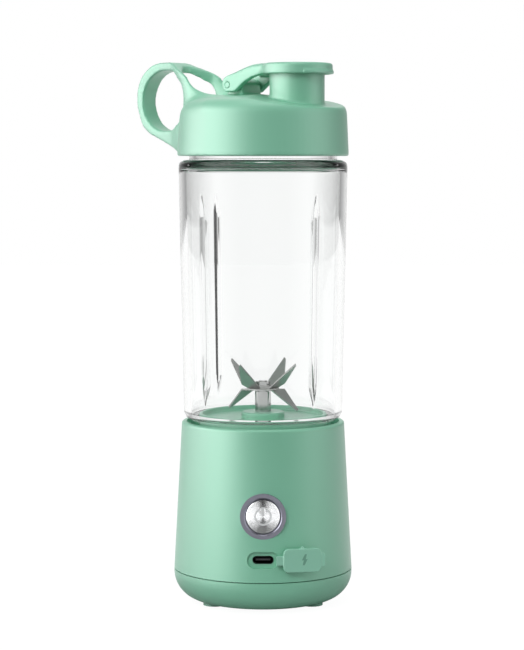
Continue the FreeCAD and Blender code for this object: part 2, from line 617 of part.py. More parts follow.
def make_blade_seat():
    """The mint floor of the jar: a hat with a flange below, the cutter's boss on top and a hub inside."""
    body = new_body("blade_seat")
    turn(body, "Revolution", [
        ("sleeve_radius", HUB_LOW), ("hub_radius", HUB_LOW), ("hub_radius", SEAT_ROOF),
        ("seat_radius - seat_wall", SEAT_ROOF), ("seat_radius - seat_wall", SEAT_LOW),
        ("seat_flange", SEAT_LOW), ("seat_flange", CEILING), ("seat_radius", CEILING),
        ("seat_radius", SEAT_EDGE, "seat_edge_width / 3"),
        ("seat_radius - seat_edge_width", SEAT_EDGE, "seat_edge_width / 3"),
        ("seat_radius - seat_edge_width", SEAT_TOP, "seat_edge_width / 2"), ("boss_radius", SEAT_TOP),
        ("boss_radius", BOSS_TOP, "seat_wall / 3"), ("sleeve_radius", BOSS_TOP)])
    for x, y in SEAT_SCREW_PLACES:
        hole = sketch_on(body, "XY_Plane", SEAT_LOW)
        circle(hole, "seat_screw_radius", x, y)
        grow(body, "Pocket", hole, "seat_flange_height", backwards=True)
    for x, y in EAR_PLACES:
        hole = sketch_on(body, "XY_Plane", SEAT_LOW)
        circle(hole, "ear_screw_radius", x, y)
        grow(body, "Pocket", hole, "ear_screw_length", backwards=True)
    return body


nodes.append(make_bottom_cap())
nodes.append(make_feet())
head_low = f"({UNDERSIDE} + foot_inset + seal_gap)"
nodes.append(screws("cap_screws", FOOT_PLACES, head_low, "(cap_screw_head - seal_gap / 2)",
                    "cap_screw_head_height", "cap_screw_radius",
                    f"({POST_LOW} - {head_low} - cap_screw_head_height + cap_screw_reach)"))
nodes.append(make_blade_seat())
nodes.append(screws("seat_screws", SEAT_SCREW_PLACES, f"({SEAT_LOW} - seat_screw_head_height)",
                    "seat_screw_head", "seat_screw_head_height", "seat_screw_radius", "seat_screw_length"))


# ---------------------------------------------------------------- shaft line and cutter

def tube(label, outer, inner, low, high):
    return turned(label, [(inner, low), (outer, low), (outer, high), (inner, high)])


SHAFT_BORE = "shaft_radius + running_gap"
nodes.append(tube("bearing_sleeve", "sleeve_radius", SHAFT_BORE, SLEEVE_LOW, SLEEVE_TOP))
nodes.append(tube("shaft_bush", "sleeve_radius", SHAFT_BORE, HUB_LOW, f"({HUB_LOW} + bush_length)"))
nodes.append(tube("shaft_seal", "sleeve_radius", SHAFT_BORE, f"({HUB_LOW} + bush_length)", SLEEVE_LOW))


def make_blade_shaft():
    """A stepped steel shaft: the cutter sits on its shoulder and the nut on its thinner end."""
    end = f"({NUT_LOW} + nut_height + blade_thick / 2)"
    return turned("blade_shaft", [
        ("0", SHAFTS_MEET), ("shaft_radius", SHAFTS_MEET), ("shaft_radius", CUTTER),
        ("spigot_radius", CUTTER), ("spigot_radius", end), ("0", end)])


def make_drive_coupling():
    """A sleeve that grips the motor's shaft below and the cutter's shaft above."""
    top = f"({COUPLING_LOW} + coupling_length)"
    return turned("drive_coupling", [
        ("motor_shaft_radius", COUPLING_LOW), ("coupling_radius", COUPLING_LOW), ("coupling_radius", top),
        ("shaft_radius", top), ("shaft_radius", SHAFTS_MEET), ("motor_shaft_radius", SHAFTS_MEET)])


def bend_end(start, bend_length, skew):
    """Where a bend line ends that begins at start and runs back towards the axis at the skew angle."""
    out, side = start
    return f"({out} + {bend_length} * cos({skew}))", f"({side} - {bend_length} * sin({skew}))"


def make_blade(label, low, start, skew, fold, flat, arm, mirrored):
    """A strip with two arms folded from its flat middle.

    start is where the first arm's bend line begins, out from the axis and to the side, and skew is how far
    the line is turned; arm is the arm's outline measured along the bend line and away from it. The second
    arm is the first one mirrored, or turned half round."""
    body = new_body(label)
    centre = sketch_on(body, "XY_Plane", low)
    outline(centre, flat)
    grow(body, "Pad", centre, "blade_thick")
    wing = sketch_on(body, "XY_Plane")
    folds_down = number(fold) < 0
    tilt = Rotation(Vector(0, 0, 1), -number(skew)) * Rotation(Vector(1, 0, 0), number(fold))
    wing.AttachmentOffset = Placement(Vector(), tilt)
    lift = f"{low} + blade_thick" if folds_down else low
    for axis, text in (("x", start[0]), ("y", start[1]), ("z", lift)):
        bind(wing, f"AttachmentOffset.Base.{axis}", text)
    outline(wing, arm)
    arms = grow(body, "Pad", wing, "blade_thick", backwards=folds_down)
    if mirrored:
        across_middle(body, arms)
    else:
        around_axis(body, arms, 2)
    bore = sketch_on(body, "XY_Plane", low)
    circle(bore, "spigot_radius")
    grow(body, "Pocket", bore, "blade_thick", backwards=True)
    return body


UPPER_START = ("upper_start_out", "upper_start_side")
UPPER_END = bend_end(UPPER_START, "upper_bend_length", "upper_bend_skew")
UPPER_FLAT = [
    ("-upper_start_out", "upper_start_side"), (f"-{UPPER_END[0]}", UPPER_END[1]),
    ("-upper_back_out", "-upper_back_side"), ("upper_back_out", "-upper_back_side"), UPPER_END, UPPER_START]
UPPER_ARM = [
    ("0", "0"), ("upper_bend_length", "0"), ("upper_belly_along", "upper_belly_out"),
    ("upper_tip_along", "upper_tip_out - blade_tip_width"),
    ("upper_tip_along - blade_tip_width", "upper_tip_out")]
UPPER = (UPPER_START, "upper_bend_skew", "upper_fold", UPPER_FLAT, UPPER_ARM, True)

LOWER_START = ("lower_start_out", "lower_start_side")
LOWER_END = bend_end(LOWER_START, "lower_bend_length", "lower_bend_skew")
LOWER_FLAT = [
    LOWER_END, LOWER_START, (f"-{LOWER_END[0]}", f"-{LOWER_END[1]}"),
    ("-lower_start_out", "-lower_start_side")]
LOWER_ARM = [
    ("0", "0"), ("lower_bend_length", "0"), ("-lower_tip_along + blade_tip_width", "lower_tip_out"),
    ("-lower_tip_along", "lower_tip_out - blade_tip_width / 2")]
LOWER = (LOWER_START, "lower_bend_skew", "-lower_fold", LOWER_FLAT, LOWER_ARM, False)


def make_blade_nut():
    body = new_body("blade_nut")
    flats = sketch_on(body, "XY_Plane", NUT_LOW)
    corner = "(nut_flats / 2 / cos(30))"
    outline(flats, [(f"{corner} * cos({angle})", f"{corner} * sin({angle})") for angle in range(0, 360, 60)])
    grow(body, "Pad", flats, "nut_height")
    bore = sketch_on(body, "XY_Plane", NUT_LOW)
    circle(bore, "spigot_radius")
    grow(body, "Pocket", bore, "nut_height", backwards=True)
    return body


nodes.append(make_blade_shaft())
nodes.append(make_drive_coupling())
nodes.append(tube("hub_washer", "washer_radius", "spigot_radius", WASHER, UPPER_BLADE))
nodes.append(yawed(make_blade("lower_blade", CUTTER, *LOWER), "lower_azimuth"))
nodes.append(yawed(make_blade("upper_blade_a", UPPER_BLADE, *UPPER), "upper_azimuth + 180"))
nodes.append(yawed(make_blade("upper_blade_b", CROSS_BLADE, *UPPER), "upper_azimuth"))
nodes.append(make_blade_nut())


# ---------------------------------------------------------------- motor

MOTOR_BORE = "motor_shaft_radius + running_gap"
MOTOR_CAP_TOP = f"({MOTOR_LOW} + motor_cap_height)"


def make_motor_can():
    """A drawn steel can, open at the bottom, with the front bearing's boss on top."""
    body = turned("motor_can", [
        ("motor_radius - motor_wall", MOTOR_CAP_TOP), ("motor_radius", MOTOR_CAP_TOP),
        ("motor_radius", BRACKET_LOW), ("motor_boss_radius", BRACKET_LOW),
        ("motor_boss_radius", f"{BRACKET_LOW} + motor_boss_height"),
        (MOTOR_BORE, f"{BRACKET_LOW} + motor_boss_height"),
        (MOTOR_BORE, f"{BRACKET_LOW} - motor_wall - 1"),
        ("motor_radius - motor_wall", f"{BRACKET_LOW} - motor_wall - 1")])
    for x, y in MOTOR_SCREW_PLACES:
        hole = sketch_on(body, "XY_Plane", BRACKET_LOW)
        circle(hole, "motor_screw_radius", x, y)
        grow(body, "Pocket", hole, "motor_wall + 1")
    return body


def make_motor_magnets():
    """Two curved magnets against the can's wall."""
    body = tube("motor_magnets", "motor_radius - motor_wall", "(motor_radius - motor_wall - magnet_thick)",
                f"({MOTOR_CAP_TOP} + 3)", f"({BRACKET_LOW} - motor_wall - 4)")
    gap = sketch_on(body, "XY_Plane", MOTOR_CAP_TOP)
    outline(gap, box_corners("-motor_radius", "-magnet_gap_width / 2", "motor_radius",
                             "magnet_gap_width / 2"))
    grow(body, "Pocket", gap, "motor_length", backwards=True)
    return body


def make_armature():
    """The wound core and its commutator, pressed on the motor's shaft."""
    core_low = f"({MOTOR_CAP_TOP} + 5)"
    core_top = f"({core_low} + armature_length)"
    body = turned("motor_armature", [
        ("motor_shaft_radius", f"{MOTOR_CAP_TOP} + 0.6"), ("commutator_radius", f"{MOTOR_CAP_TOP} + 0.6"),
        ("commutator_radius", core_low), ("armature_radius", core_low), ("armature_radius", core_top),
        ("motor_shaft_radius", core_top)])
    slot = sketch_on(body, "XY_Plane", core_low)
    outline(slot, box_corners("armature_radius * 0.45", "-magnet_thick", "armature_radius + 1",
                              "magnet_thick"))
    slots = grow(body, "Pocket", slot, "armature_length", backwards=True)
    around_axis(body, slots, 5)
    return body


def make_motor_bracket():
    """A pressed strip that carries the motor and hangs by its two ears from the blade seat's flange."""
    body = new_body("motor_bracket")
    side = sketch_on(body, FRONT)
    ear_low, inner = f"{SEAT_LOW} - bracket_thick", "(bracket_reach - 5)"
    outline(side, [
        ("-bracket_reach", SEAT_LOW), ("-bracket_reach", ear_low), (f"-{inner}", ear_low),
        (f"-{inner}", BRACKET_LOW), (inner, BRACKET_LOW), (inner, ear_low), ("bracket_reach", ear_low),
        ("bracket_reach", SEAT_LOW), (f"{inner} - bracket_thick", SEAT_LOW),
        (f"{inner} - bracket_thick", f"{BRACKET_LOW} + bracket_thick"),
        (f"-({inner} - bracket_thick)", f"{BRACKET_LOW} + bracket_thick"),
        (f"-({inner} - bracket_thick)", SEAT_LOW)])
    grow(body, "Pad", side, "bracket_width", both_ways=True)
    holes = [("0", "0", "motor_boss_radius + seal_gap / 2", BRACKET_LOW)]
    holes += [(x, y, "motor_screw_radius", BRACKET_LOW) for x, y in MOTOR_SCREW_PLACES]
    holes += [(x, y, "ear_screw_radius", ear_low) for x, y in EAR_PLACES]
    for x, y, radius, low in holes:
        hole = sketch_on(body, "XY_Plane", low)
        circle(hole, radius, x, y)
        grow(body, "Pocket", hole, "bracket_thick", backwards=True)
    return body


def make_motor_terminals():
    tags = []
    for index, side in enumerate(("", "-")):
        tag = doc.addObject("Part::Box", f"terminal_{index}")
        bind(tag, "Length", "terminal_thick")
        bind(tag, "Width", "terminal_width")
        bind(tag, "Height", "terminal_length")
        bind(tag, "Placement.Base.x", f"{side}(motor_radius * 0.65) - terminal_thick / 2")
        bind(tag, "Placement.Base.y", "-terminal_width / 2")
        bind(tag, "Placement.Base.z", f"{MOTOR_LOW} - terminal_length")
        tags.append(tag)
    group = doc.addObject("Part::Compound", "motor_terminals")
    group.Label = "motor_terminals"
    group.Links = tags
    return group


def flipped_screws(label, places, seat, head_radius, head_height, shank_radius, shank_length):
    """Screws whose heads are up: their shanks go down from the level of the seat."""
    group = screws(label + "_down", places, f"(-{seat} - {head_height})", head_radius, head_height,
                   shank_radius, shank_length)
    upright = doc.addObject("Part::Mirroring", label)
    upright.Label = label
    upright.Source = group
    upright.Normal = Vector(0, 0, 1)
    return upright


nodes.append(make_motor_can())
nodes.append(make_motor_magnets())
nodes.append(make_armature())
nodes.append(turned("motor_shaft", [("0", f"{MOTOR_LOW} + 0.5"), ("motor_shaft_radius", f"{MOTOR_LOW} + 0.5"),
                                    ("motor_shaft_radius", f"{SHAFTS_MEET} - 0.3"),
                                    ("0", f"{SHAFTS_MEET} - 0.3")]))
nodes.append(turned("motor_end_cap", [
    (MOTOR_BORE, MOTOR_LOW), ("motor_radius", MOTOR_LOW), ("motor_radius", MOTOR_CAP_TOP),
    (MOTOR_BORE, MOTOR_CAP_TOP)]))
nodes.append(make_motor_terminals())
nodes.append(make_motor_bracket())
nodes.append(screws("bracket_screws", EAR_PLACES, f"({SEAT_LOW} - bracket_thick - seat_screw_head_height)",
                    "ear_screw_head", "seat_screw_head_height", "ear_screw_radius",
                    "(bracket_thick + ear_screw_length)"))
nodes.append(flipped_screws("motor_screws", MOTOR_SCREW_PLACES, f"({BRACKET_LOW} + bracket_thick)",
                            "ear_screw_head", "seat_screw_head_height", "motor_screw_radius",
                            "(bracket_thick + motor_wall + 1)"))


# ---------------------------------------------------------------- batteries and board

CELL_PLACES = [("cell_circle * sin(cell_angle)", "cell_circle * cos(cell_angle)"),
               ("-cell_circle * sin(cell_angle)", "cell_circle * cos(cell_angle)")]
CELL_LOW = f"({UNDERSIDE} + cell_lift)"


def make_battery_cells():
    """Two round cells, each with its raised contact on top."""
    cells = []
    for index, (x, y) in enumerate(CELL_PLACES):
        cell = new_body(f"cell_{index}")
        for radius, low, tall in (("cell_radius", CELL_LOW, "cell_length - 1"),
                                  ("cell_radius * 0.35", f"{CELL_LOW} + cell_length - 1", "1")):
            ring = sketch_on(cell, "XY_Plane", low)
            circle(ring, radius, x, y)
            grow(cell, "Pad", ring, tall)
        cells.append(cell)
    group = doc.addObject("Part::Compound", "battery_cells")
    group.Label = "battery_cells"
    group.Links = cells
    return group


def make_battery_cradle():
    """Two cups for the cells, bridged together, on a foot that stands on the bottom cap's floor."""
    body = new_body("battery_cradle")
    cup_low = f"({CELL_LOW} - cradle_wall)"
    stand = f"({UNDERSIDE} + base_wall)"
    cell_y = CELL_PLACES[0][1]
    foot = sketch_on(body, "XY_Plane", stand)
    outline(foot, box_corners("-cell_circle * 0.6", f"{cell_y} - cradle_foot * 2",
                              "cell_circle * 0.6", f"{cell_y} - cradle_foot"))
    grow(body, "Pad", foot, f"{cup_low} - {stand} + cradle_wall / 2")
    bridge = sketch_on(body, "XY_Plane", cup_low)
    outline(bridge, box_corners("-cell_circle * 0.6", f"{cell_y} - cradle_foot * 2",
                                "cell_circle * 0.6", f"{cell_y} - cradle_foot / 2"))
    grow(body, "Pad", bridge, "cradle_wall + cradle_depth / 2")
    for x, y in CELL_PLACES:
        cup = sketch_on(body, "XY_Plane", cup_low)
        circle(cup, "cell_radius + cell_slack + cradle_wall", x, y)
        grow(body, "Pad", cup, "cradle_wall + cradle_depth")
    for x, y in CELL_PLACES:
        well = sketch_on(body, "XY_Plane", CELL_LOW)
        circle(well, "cell_radius + cell_slack", x, y)
        grow(body, "Pocket", well, "cradle_depth", backwards=True)
    return body


def block(label, low_x, high_x, low_y, high_y, low_z, high_z):
    """A plain box between six named faces."""
    body = new_body(label)
    base = sketch_on(body, "XY_Plane", low_z)
    outline(base, box_corners(low_x, low_y, high_x, high_y))
    grow(body, "Pad", base, f"{high_z} - {low_z}")
    return body


BOARD_FRONT = "(board_back + board_thick)"


def make_switch():
    """The push switch on the board, behind the power button."""
    half = "switch_side / 2"
    body = block("tact_switch", f"-{half}", half, f"-({BOARD_FRONT} + switch_thick)", f"-{BOARD_FRONT}",
                 f"(button_height - {half})", f"(button_height + {half})")
    plunger = sketch_on(body, FRONT, f"{BOARD_FRONT} + switch_thick")
    circle(plunger, "plunger_radius", "0", "button_height")
    grow(body, "Pad", plunger, "plunger_height")
    return body


RECESS_FACE = "(port_radius - recess_depth)"


def make_usb_shell():
    """The receptacle's folded steel shell, open at its mouth in the recess."""
    body = new_body("usb_shell")
    outer = sketch_on(body, FRONT, BOARD_FRONT)
    outline(outer, slot_corners("0", "port_height", "usb_width", "usb_tall", "(usb_tall / 2 - 0.05)"))
    grow(body, "Pad", outer, f"{RECESS_FACE} - {BOARD_FRONT} + 0.3")
    mouth = sketch_on(body, FRONT, f"{BOARD_FRONT} + usb_wall")
    outline(mouth, slot_corners("0", "port_height", "(usb_width - usb_wall * 2)", "(usb_tall - usb_wall * 2)",
                                "(usb_tall / 2 - usb_wall - 0.05)"))
    grow(body, "Pocket", mouth, f"{RECESS_FACE}", backwards=True)
    return body


nodes.append(make_battery_cells())
nodes.append(make_battery_cradle())
nodes.append(block("control_board", "-board_width / 2", "board_width / 2", f"-{BOARD_FRONT}", "-board_back",
                   "board_low", "(board_low + board_height)"))
nodes.append(make_switch())
nodes.append(make_usb_shell())
nodes.append(block("usb_tongue", "-tongue_width / 2", "tongue_width / 2", f"-({RECESS_FACE} - tongue_back)",
                   f"-({BOARD_FRONT} + usb_wall)", "(port_height - tongue_thick / 2)",
                   "(port_height + tongue_thick / 2)"))


# ---------------------------------------------------------------- power button

def make_bezel():
    """A ring in the housing's hole, held by a flange behind the wall and with a lip that keeps the button."""
    bore = "(button_radius + bezel_gap)"
    wide = "(button_flange + bezel_gap)"
    step = "(bezel_face - bezel_lip)"
    flange_back = "(bezel_back - bezel_flange_thick)"
    return turned_about_y("button_bezel", [
        (bore, step), (bore, "bezel_face - 0.6"), (f"{bore} + 0.6", "bezel_face"),
        ("bezel_radius", "bezel_face"),
        ("bezel_radius", "bezel_back"), ("bezel_flange", "bezel_back"), ("bezel_flange", flange_back),
        (wide, flange_back), (wide, step)], "button_height")


def make_power_button():
    """A domed-edge metal cap with a keeper flange and the stem that reaches the switch."""
    flange_front = "(bezel_face - bezel_lip - seal_gap)"
    switch_face = f"({BOARD_FRONT} + switch_thick + plunger_height)"
    return turned_about_y("power_button", [
        ("0", f"{switch_face} + stem_clearance + button_travel"),
        ("stem_radius", f"{switch_face} + stem_clearance + button_travel"),
        ("stem_radius", f"{flange_front} - button_flange_thick"),
        ("button_flange", f"{flange_front} - button_flange_thick"), ("button_flange", flange_front),
        ("button_radius", flange_front), ("button_radius", "button_face", "0.5"), ("0", "button_face")],
        "button_height")


# ---------------------------------------------------------------- port cover

def make_port_cover():
    """A soft cover that hangs beside the port from an anchor peg through the wall. It is drawn in the plane
    that touches the wall at the peg, its own X running along the strap, and then turned to face outward."""
    body = new_body("port_cover")
    face = "(port_radius + cover_stand_off)"
    near, far = "strap_reach", "(strap_reach + cover_width)"
    half = "cover_tall / 2"
    plate = sketch_on(body, FRONT, face)
    outline(plate, box_corners(near, f"-{half}", far, half, "cover_round"))
    grow(body, "Pad", plate, "cover_thick")
    tab = sketch_on(body, FRONT, face)
    outline(tab, box_corners(f"{far} - tab_length * 2", "-tab_tall / 2", f"{far} + tab_length",
                             "tab_tall / 2", "tab_round"))
    grow(body, "Pad", tab, "cover_thick * 0.8")
    strap = sketch_on(body, FRONT, face)
    outline(strap, box_corners("-strap_width / 2", "-strap_width / 2", f"{near} + 1", "strap_width / 2"))
    grow(body, "Pad", strap, "cover_thick * 0.7")
    nub = sketch_on(body, FRONT, f"{face} - nub_depth")
    port_at = "port_radius * sin(cover_angle)"
    outline(nub, slot_corners(port_at, "0", "nub_width", "nub_tall", "(nub_tall / 2 - 0.05)"))
    grow(body, "Pad", nub, "nub_depth")
    bump = sketch_on(body, FRONT, face)
    circle(bump, "bump_radius", f"({near} + {far}) / 2", half)
    grow(body, "Pad", bump, "cover_thick * 0.8")
    peg = sketch_on(body, FRONT, "port_radius - base_wall - anchor_bead_thick - 0.6")
    circle(peg, "anchor_radius")
    grow(body, "Pad", peg, f"{face} - (port_radius - base_wall - anchor_bead_thick - 0.6)")
    bead = sketch_on(body, FRONT, "port_radius - base_wall - anchor_bead_thick - 0.6")
    circle(bead, "anchor_bead")
    grow(body, "Pad", bead, "anchor_bead_thick")
    outward = Rotation(Vector(0, 0, 1), number("cover_angle"))
    body.Placement = Placement(Vector(0, 0, number("port_height")), outward)
    bind(body, "Placement.Base.z", "port_height")
    bind(body, "Placement.Rotation.Angle", "cover_angle")
    return body


nodes.append(make_bezel())
nodes.append(make_power_button())
nodes.append(make_port_cover())


# ---------------------------------------------------------------- jar

RIM_THREAD = f"({SOCKET} + thread_pitch * 1.3)"
NECK_THREAD = f"({JAR_TOP} + neck_thread_rise)"


def jar_inside(height):
    """The inner wall's radius, which widens evenly upward with the outer wall."""
    slope = "((jar_top_radius - jar_low_radius) / jar_height)"
    return f"(jar_low_radius - jar_wall + {slope} * {height})"


def make_jar():
    """A clear beaker with a threaded collar below, a threaded neck above and four ribs inside."""
    body = new_body("jar")
    turn(body, "Revolution", [
        ("seat_radius + collar_gap", COLLAR_LOW), ("collar_radius", COLLAR_LOW), ("collar_radius", JAR_FOOT),
        ("jar_low_radius", JAR_FOOT, "jar_foot_round"), ("jar_top_radius", JAR_TOP, "jar_shoulder_round"),
        ("neck_radius", JAR_TOP), ("neck_radius", NECK_TOP), ("neck_inner_radius", NECK_TOP),
        ("neck_inner_radius", f"{JAR_TOP} - jar_shoulder", "neck_round"),
        ("jar_top_radius - jar_wall", f"{JAR_TOP} - jar_shoulder", "jar_ceiling_round"),
        ("jar_low_radius - jar_wall", f"{JAR_FOOT} + jar_floor", "jar_floor_round"),
        ("seat_radius + collar_gap", f"{JAR_FOOT} + jar_floor")])
    rib = sketch_on(body, FRONT)
    rib.AttachmentOffset = Placement(Vector(), Rotation(Vector(0, 1, 0), number("rib_turn")))
    bind(rib, "AttachmentOffset.Rotation.Angle", "rib_turn")
    outline(rib, [
        (f"{jar_inside('rib_low')} + jar_wall / 4", f"{JAR_FOOT} + rib_low"),
        (f"{jar_inside('rib_high')} + jar_wall / 4", f"{JAR_FOOT} + rib_high"),
        (f"{jar_inside('(rib_high - rib_taper)')} - rib_depth", f"{JAR_FOOT} + rib_high - rib_taper"),
        (f"{jar_inside('(rib_low + rib_taper)')} - rib_depth", f"{JAR_FOOT} + rib_low + rib_taper")])
    ribs = grow(body, "Pad", rib, "rib_width", both_ways=True)
    around_axis(body, ribs, 4)
    thread(body, "collar_radius", f"({RIM_THREAD} - thread_pitch / 2)", "jar_thread_depth")
    thread(body, "neck_radius", NECK_THREAD, "neck_thread_depth")
    return body


nodes.append(tube("jar_seal", "(seat_radius + seal_gap + jar_seal_width)", "(seat_radius + seal_gap)",
                  SOCKET, COLLAR_LOW))
nodes.append(make_jar())


# ---------------------------------------------------------------- lid

def traced(name, start, flip=False):
    """The corners of one of the listed outlines, measured from the point that it starts from; flip mirrors
    it to the other side of the lid's plane."""
    along, up = start
    corners = []
    for letter, point in zip(LETTERS, OUTLINES[name]):
        corner = [f"{along} + {name}_{letter}_along", f"{up} {'-' if flip else '+'} {name}_{letter}_up"]
        if point[2]:
            corner.append(f"{name}_{letter}_round")
        corners.append(tuple(corner))
    return corners


LOOP_SIDE = ("-lid_skirt_radius", LID_FOOT)
LOOP_PLAN = ("-lid_skirt_radius", "0")
PIVOT = ("-hinge_offset", HINGE)


def make_finger_loop(body):
    """The loop, its hole, and the two arms that spread from it to straddle the cap's hinge."""
    side = sketch_on(body, FRONT)
    outline(side, traced("loop_side", LOOP_SIDE))
    grow(body, "Pad", side, "arm_spread * 2", both_ways=True)
    hole = sketch_on(body, FRONT)
    outline(hole, slot_corners("(-lid_skirt_radius - loop_hole_out)", f"({LID_FOOT} + loop_hole_rise)",
                               "loop_hole_wide", "loop_hole_tall", "loop_hole_tall / 2 - 0.1"))
    grow(body, "Pocket", hole, "arm_spread * 3", both_ways=True)
    for flip in (False, True):
        waist = sketch_on(body, "XY_Plane", f"{LID_FOOT} - 2")
        outline(waist, traced("loop_plan", LOOP_PLAN, flip))
        grow(body, "Pocket", waist, backwards=True)
    gap = sketch_on(body, "XY_Plane", f"({LID_FOOT} + loop_gap_rise)")
    outline(gap, traced("loop_gap", LOOP_PLAN) + traced("loop_gap", LOOP_PLAN, flip=True)[::-1])
    grow(body, "Pocket", gap, backwards=True)


def make_dome(body):
    """The lid's cup, whose top is a shallow dome that is planed down towards the spout."""
    brow = f"({CROWN} - lid_crown_drop)"
    turn(body, "Revolution", [
        ("0", LID_FOOT), ("lid_skirt_radius", LID_FOOT), ("lid_shoulder_radius", SHOULDER, "lid_round"),
        ("lid_crown", brow, "lid_crown"), ("0", CROWN)])
    plane = sketch_on(body, FRONT)
    outline(plane, [("slope_start", CROWN), ("slope_start + slope_reach", f"{CROWN} - slope_fall"),
                    ("lid_skirt_radius * 2", f"{CROWN} - slope_fall * 2"),
                    ("lid_skirt_radius * 2", f"{CROWN} + lid_rise"), ("slope_start", f"{CROWN} + lid_rise")])
    grow(body, "Pocket", plane, "lid_skirt_radius * 2", both_ways=True)
    turn(body, "Groove", [
        ("0", f"{LID_FOOT} - 1"), ("lid_inner_radius", f"{LID_FOOT} - 1"), ("lid_inner_radius", LEDGE),
        ("lid_ledge_radius", LEDGE), ("lid_ledge_radius", f"{LEDGE} + lid_ledge_rise", "lid_ledge_rise / 2"),
        ("lid_crown", f"{brow} - dome_wall"), ("0", f"{CROWN} - dome_wall")])


def make_lid():
    """The lid's cup with its finger loop, spout, hinge lug and inner thread, as one moulding."""
    body = new_body("lid_shell")
    make_finger_loop(body)
    make_dome(body)
    spout = sketch_on(body, "XY_Plane", f"{CROWN} - spout_root")
    circle(spout, "spout_radius", "spout_offset", "0")
    grow(body, "Pad", spout, "spout_rise + spout_root")
    bore = sketch_on(body, "XY_Plane", LEDGE)
    circle(bore, "spout_bore", "spout_offset", "0")
    grow(body, "Pocket", bore, backwards=True)
    lug = sketch_on(body, FRONT)
    heel, toe = "-(hinge_offset + hinge_eye)", "-(hinge_offset - hinge_eye)"
    end = "-(hinge_offset - lug_length)"
    outline(lug, [(heel, f"{CROWN} - lug_root"), (end, f"{CROWN} - lug_root"), (end, f"{HINGE} + lug_over"),
                  (toe, f"{HINGE} + hinge_eye", "hinge_eye"), (heel, f"{HINGE} + hinge_eye", "hinge_eye - 0.1")])
    grow(body, "Pad", lug, "lug_half_width * 2", both_ways=True)
    pin_hole = sketch_on(body, FRONT)
    circle(pin_hole, "pin_radius", *PIVOT)
    grow(body, "Pocket", pin_hole, "lug_half_width * 2 + 1", both_ways=True)
    start = f"({NECK_THREAD} - thread_pitch / 2 + thread_pitch * lid_turn / 360)"
    thread(body, "lid_inner_radius", start, "lid_thread_depth", inward=True)
    return body


def make_hinge_pin():
    body = new_body("hinge_pin")
    rod = sketch_on(body, FRONT)
    circle(rod, "pin_radius", *PIVOT)
    grow(body, "Pad", rod, "cheeks_width", both_ways=True)
    return body


def make_spout_cap():
    """A round cap and its lever, whose two cheeks hold the hinge pin either side of the lid's lug."""
    body = new_body("spout_cap")
    lever = sketch_on(body, FRONT)
    outline(lever, traced("lever_side", PIVOT))
    grow(body, "Pad", lever, "cheeks_width", both_ways=True)
    room = sketch_on(body, FRONT)
    outline(room, traced("lever_room", PIVOT))
    grow(body, "Pocket", room, "(lug_half_width + cheek_gap) * 2", both_ways=True)
    turn(body, "Revolution", [
        ("0", CAP_LOW), ("cap_radius", CAP_LOW), ("cap_radius", CAP_TOP, "cap_round"), ("0", CAP_TOP)],
        across="spout_offset")
    roof = f"({CAP_TOP} - cap_roof)"
    turn(body, "Groove", [
        ("0", f"{CAP_LOW} - 1"), ("cap_radius - cap_wall", f"{CAP_LOW} - 1"), ("cap_radius - cap_wall", roof),
        ("0", roof)], across="spout_offset")
    lip_top = f"({CAP_LOW} + thumb_lip_height)"
    turn(body, "Revolution", [
        ("cap_radius - cap_wall / 2", CAP_LOW), ("cap_radius + thumb_lip", CAP_LOW),
        ("cap_radius + thumb_lip", lip_top), ("cap_radius - cap_wall / 2", lip_top)],
        across="spout_offset", angle="thumb_lip_angle")
    pin_bore = sketch_on(body, FRONT)
    circle(pin_bore, "pin_radius + running_gap", *PIVOT)
    grow(body, "Pocket", pin_bore, "cheeks_width * 1.5", both_ways=True)
    return body


def make_spout_plug():
    """The soft tapered plug under the cap that closes the spout's bore."""
    body = new_body("spout_plug")
    low, top = f"({SPOUT_TOP} - plug_depth)", f"({SPOUT_TOP} + plug_gap)"
    roof = f"({CAP_TOP} - cap_roof)"
    turn(body, "Revolution", [
        ("0", low), ("plug_low_radius", low), ("plug_top_radius", top), ("plug_flange", top),
        ("plug_flange", roof), ("0", roof)], across="spout_offset")
    return body


nodes.append(tube("lid_gasket", "(lid_inner_radius - seal_gap)", "gasket_inner_radius", NECK_TOP, LEDGE))
nodes.append(yawed(make_lid(), "lid_turn"))
nodes.append(yawed(make_hinge_pin(), "lid_turn"))
nodes.append(yawed(make_spout_cap(), "lid_turn"))
nodes.append(yawed(make_spout_plug(), "lid_turn"))


# ---------------------------------------------------------------- checks and files

doc.recompute()
for item in doc.Objects:
    if "Invalid" in item.State or "Error" in item.State:
        raise ValueError(f"{item.Name} is not sound: {item.State}")
for node in nodes:
    if node.Shape.isNull() or not node.Shape.isValid():
        raise ValueError(f"{node.Label} has no sound shape")

os.makedirs("parts", exist_ok=True)
for node in nodes:
    node.Shape.exportStep(f"parts/{node.Label}.step")
print(len(nodes), "nodes written")
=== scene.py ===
# %% [markdown]
# # A small cordless blender, dressed for its portrait
#
# The solids, their joints and their sizes already exist: this lesson loads them and gives them their looks.
# Everything is in metres. Z is up, -Y is the front with the power button, and the blender's axis stands on
# the origin, so a height in here is a height above the worktop.

import json
import math

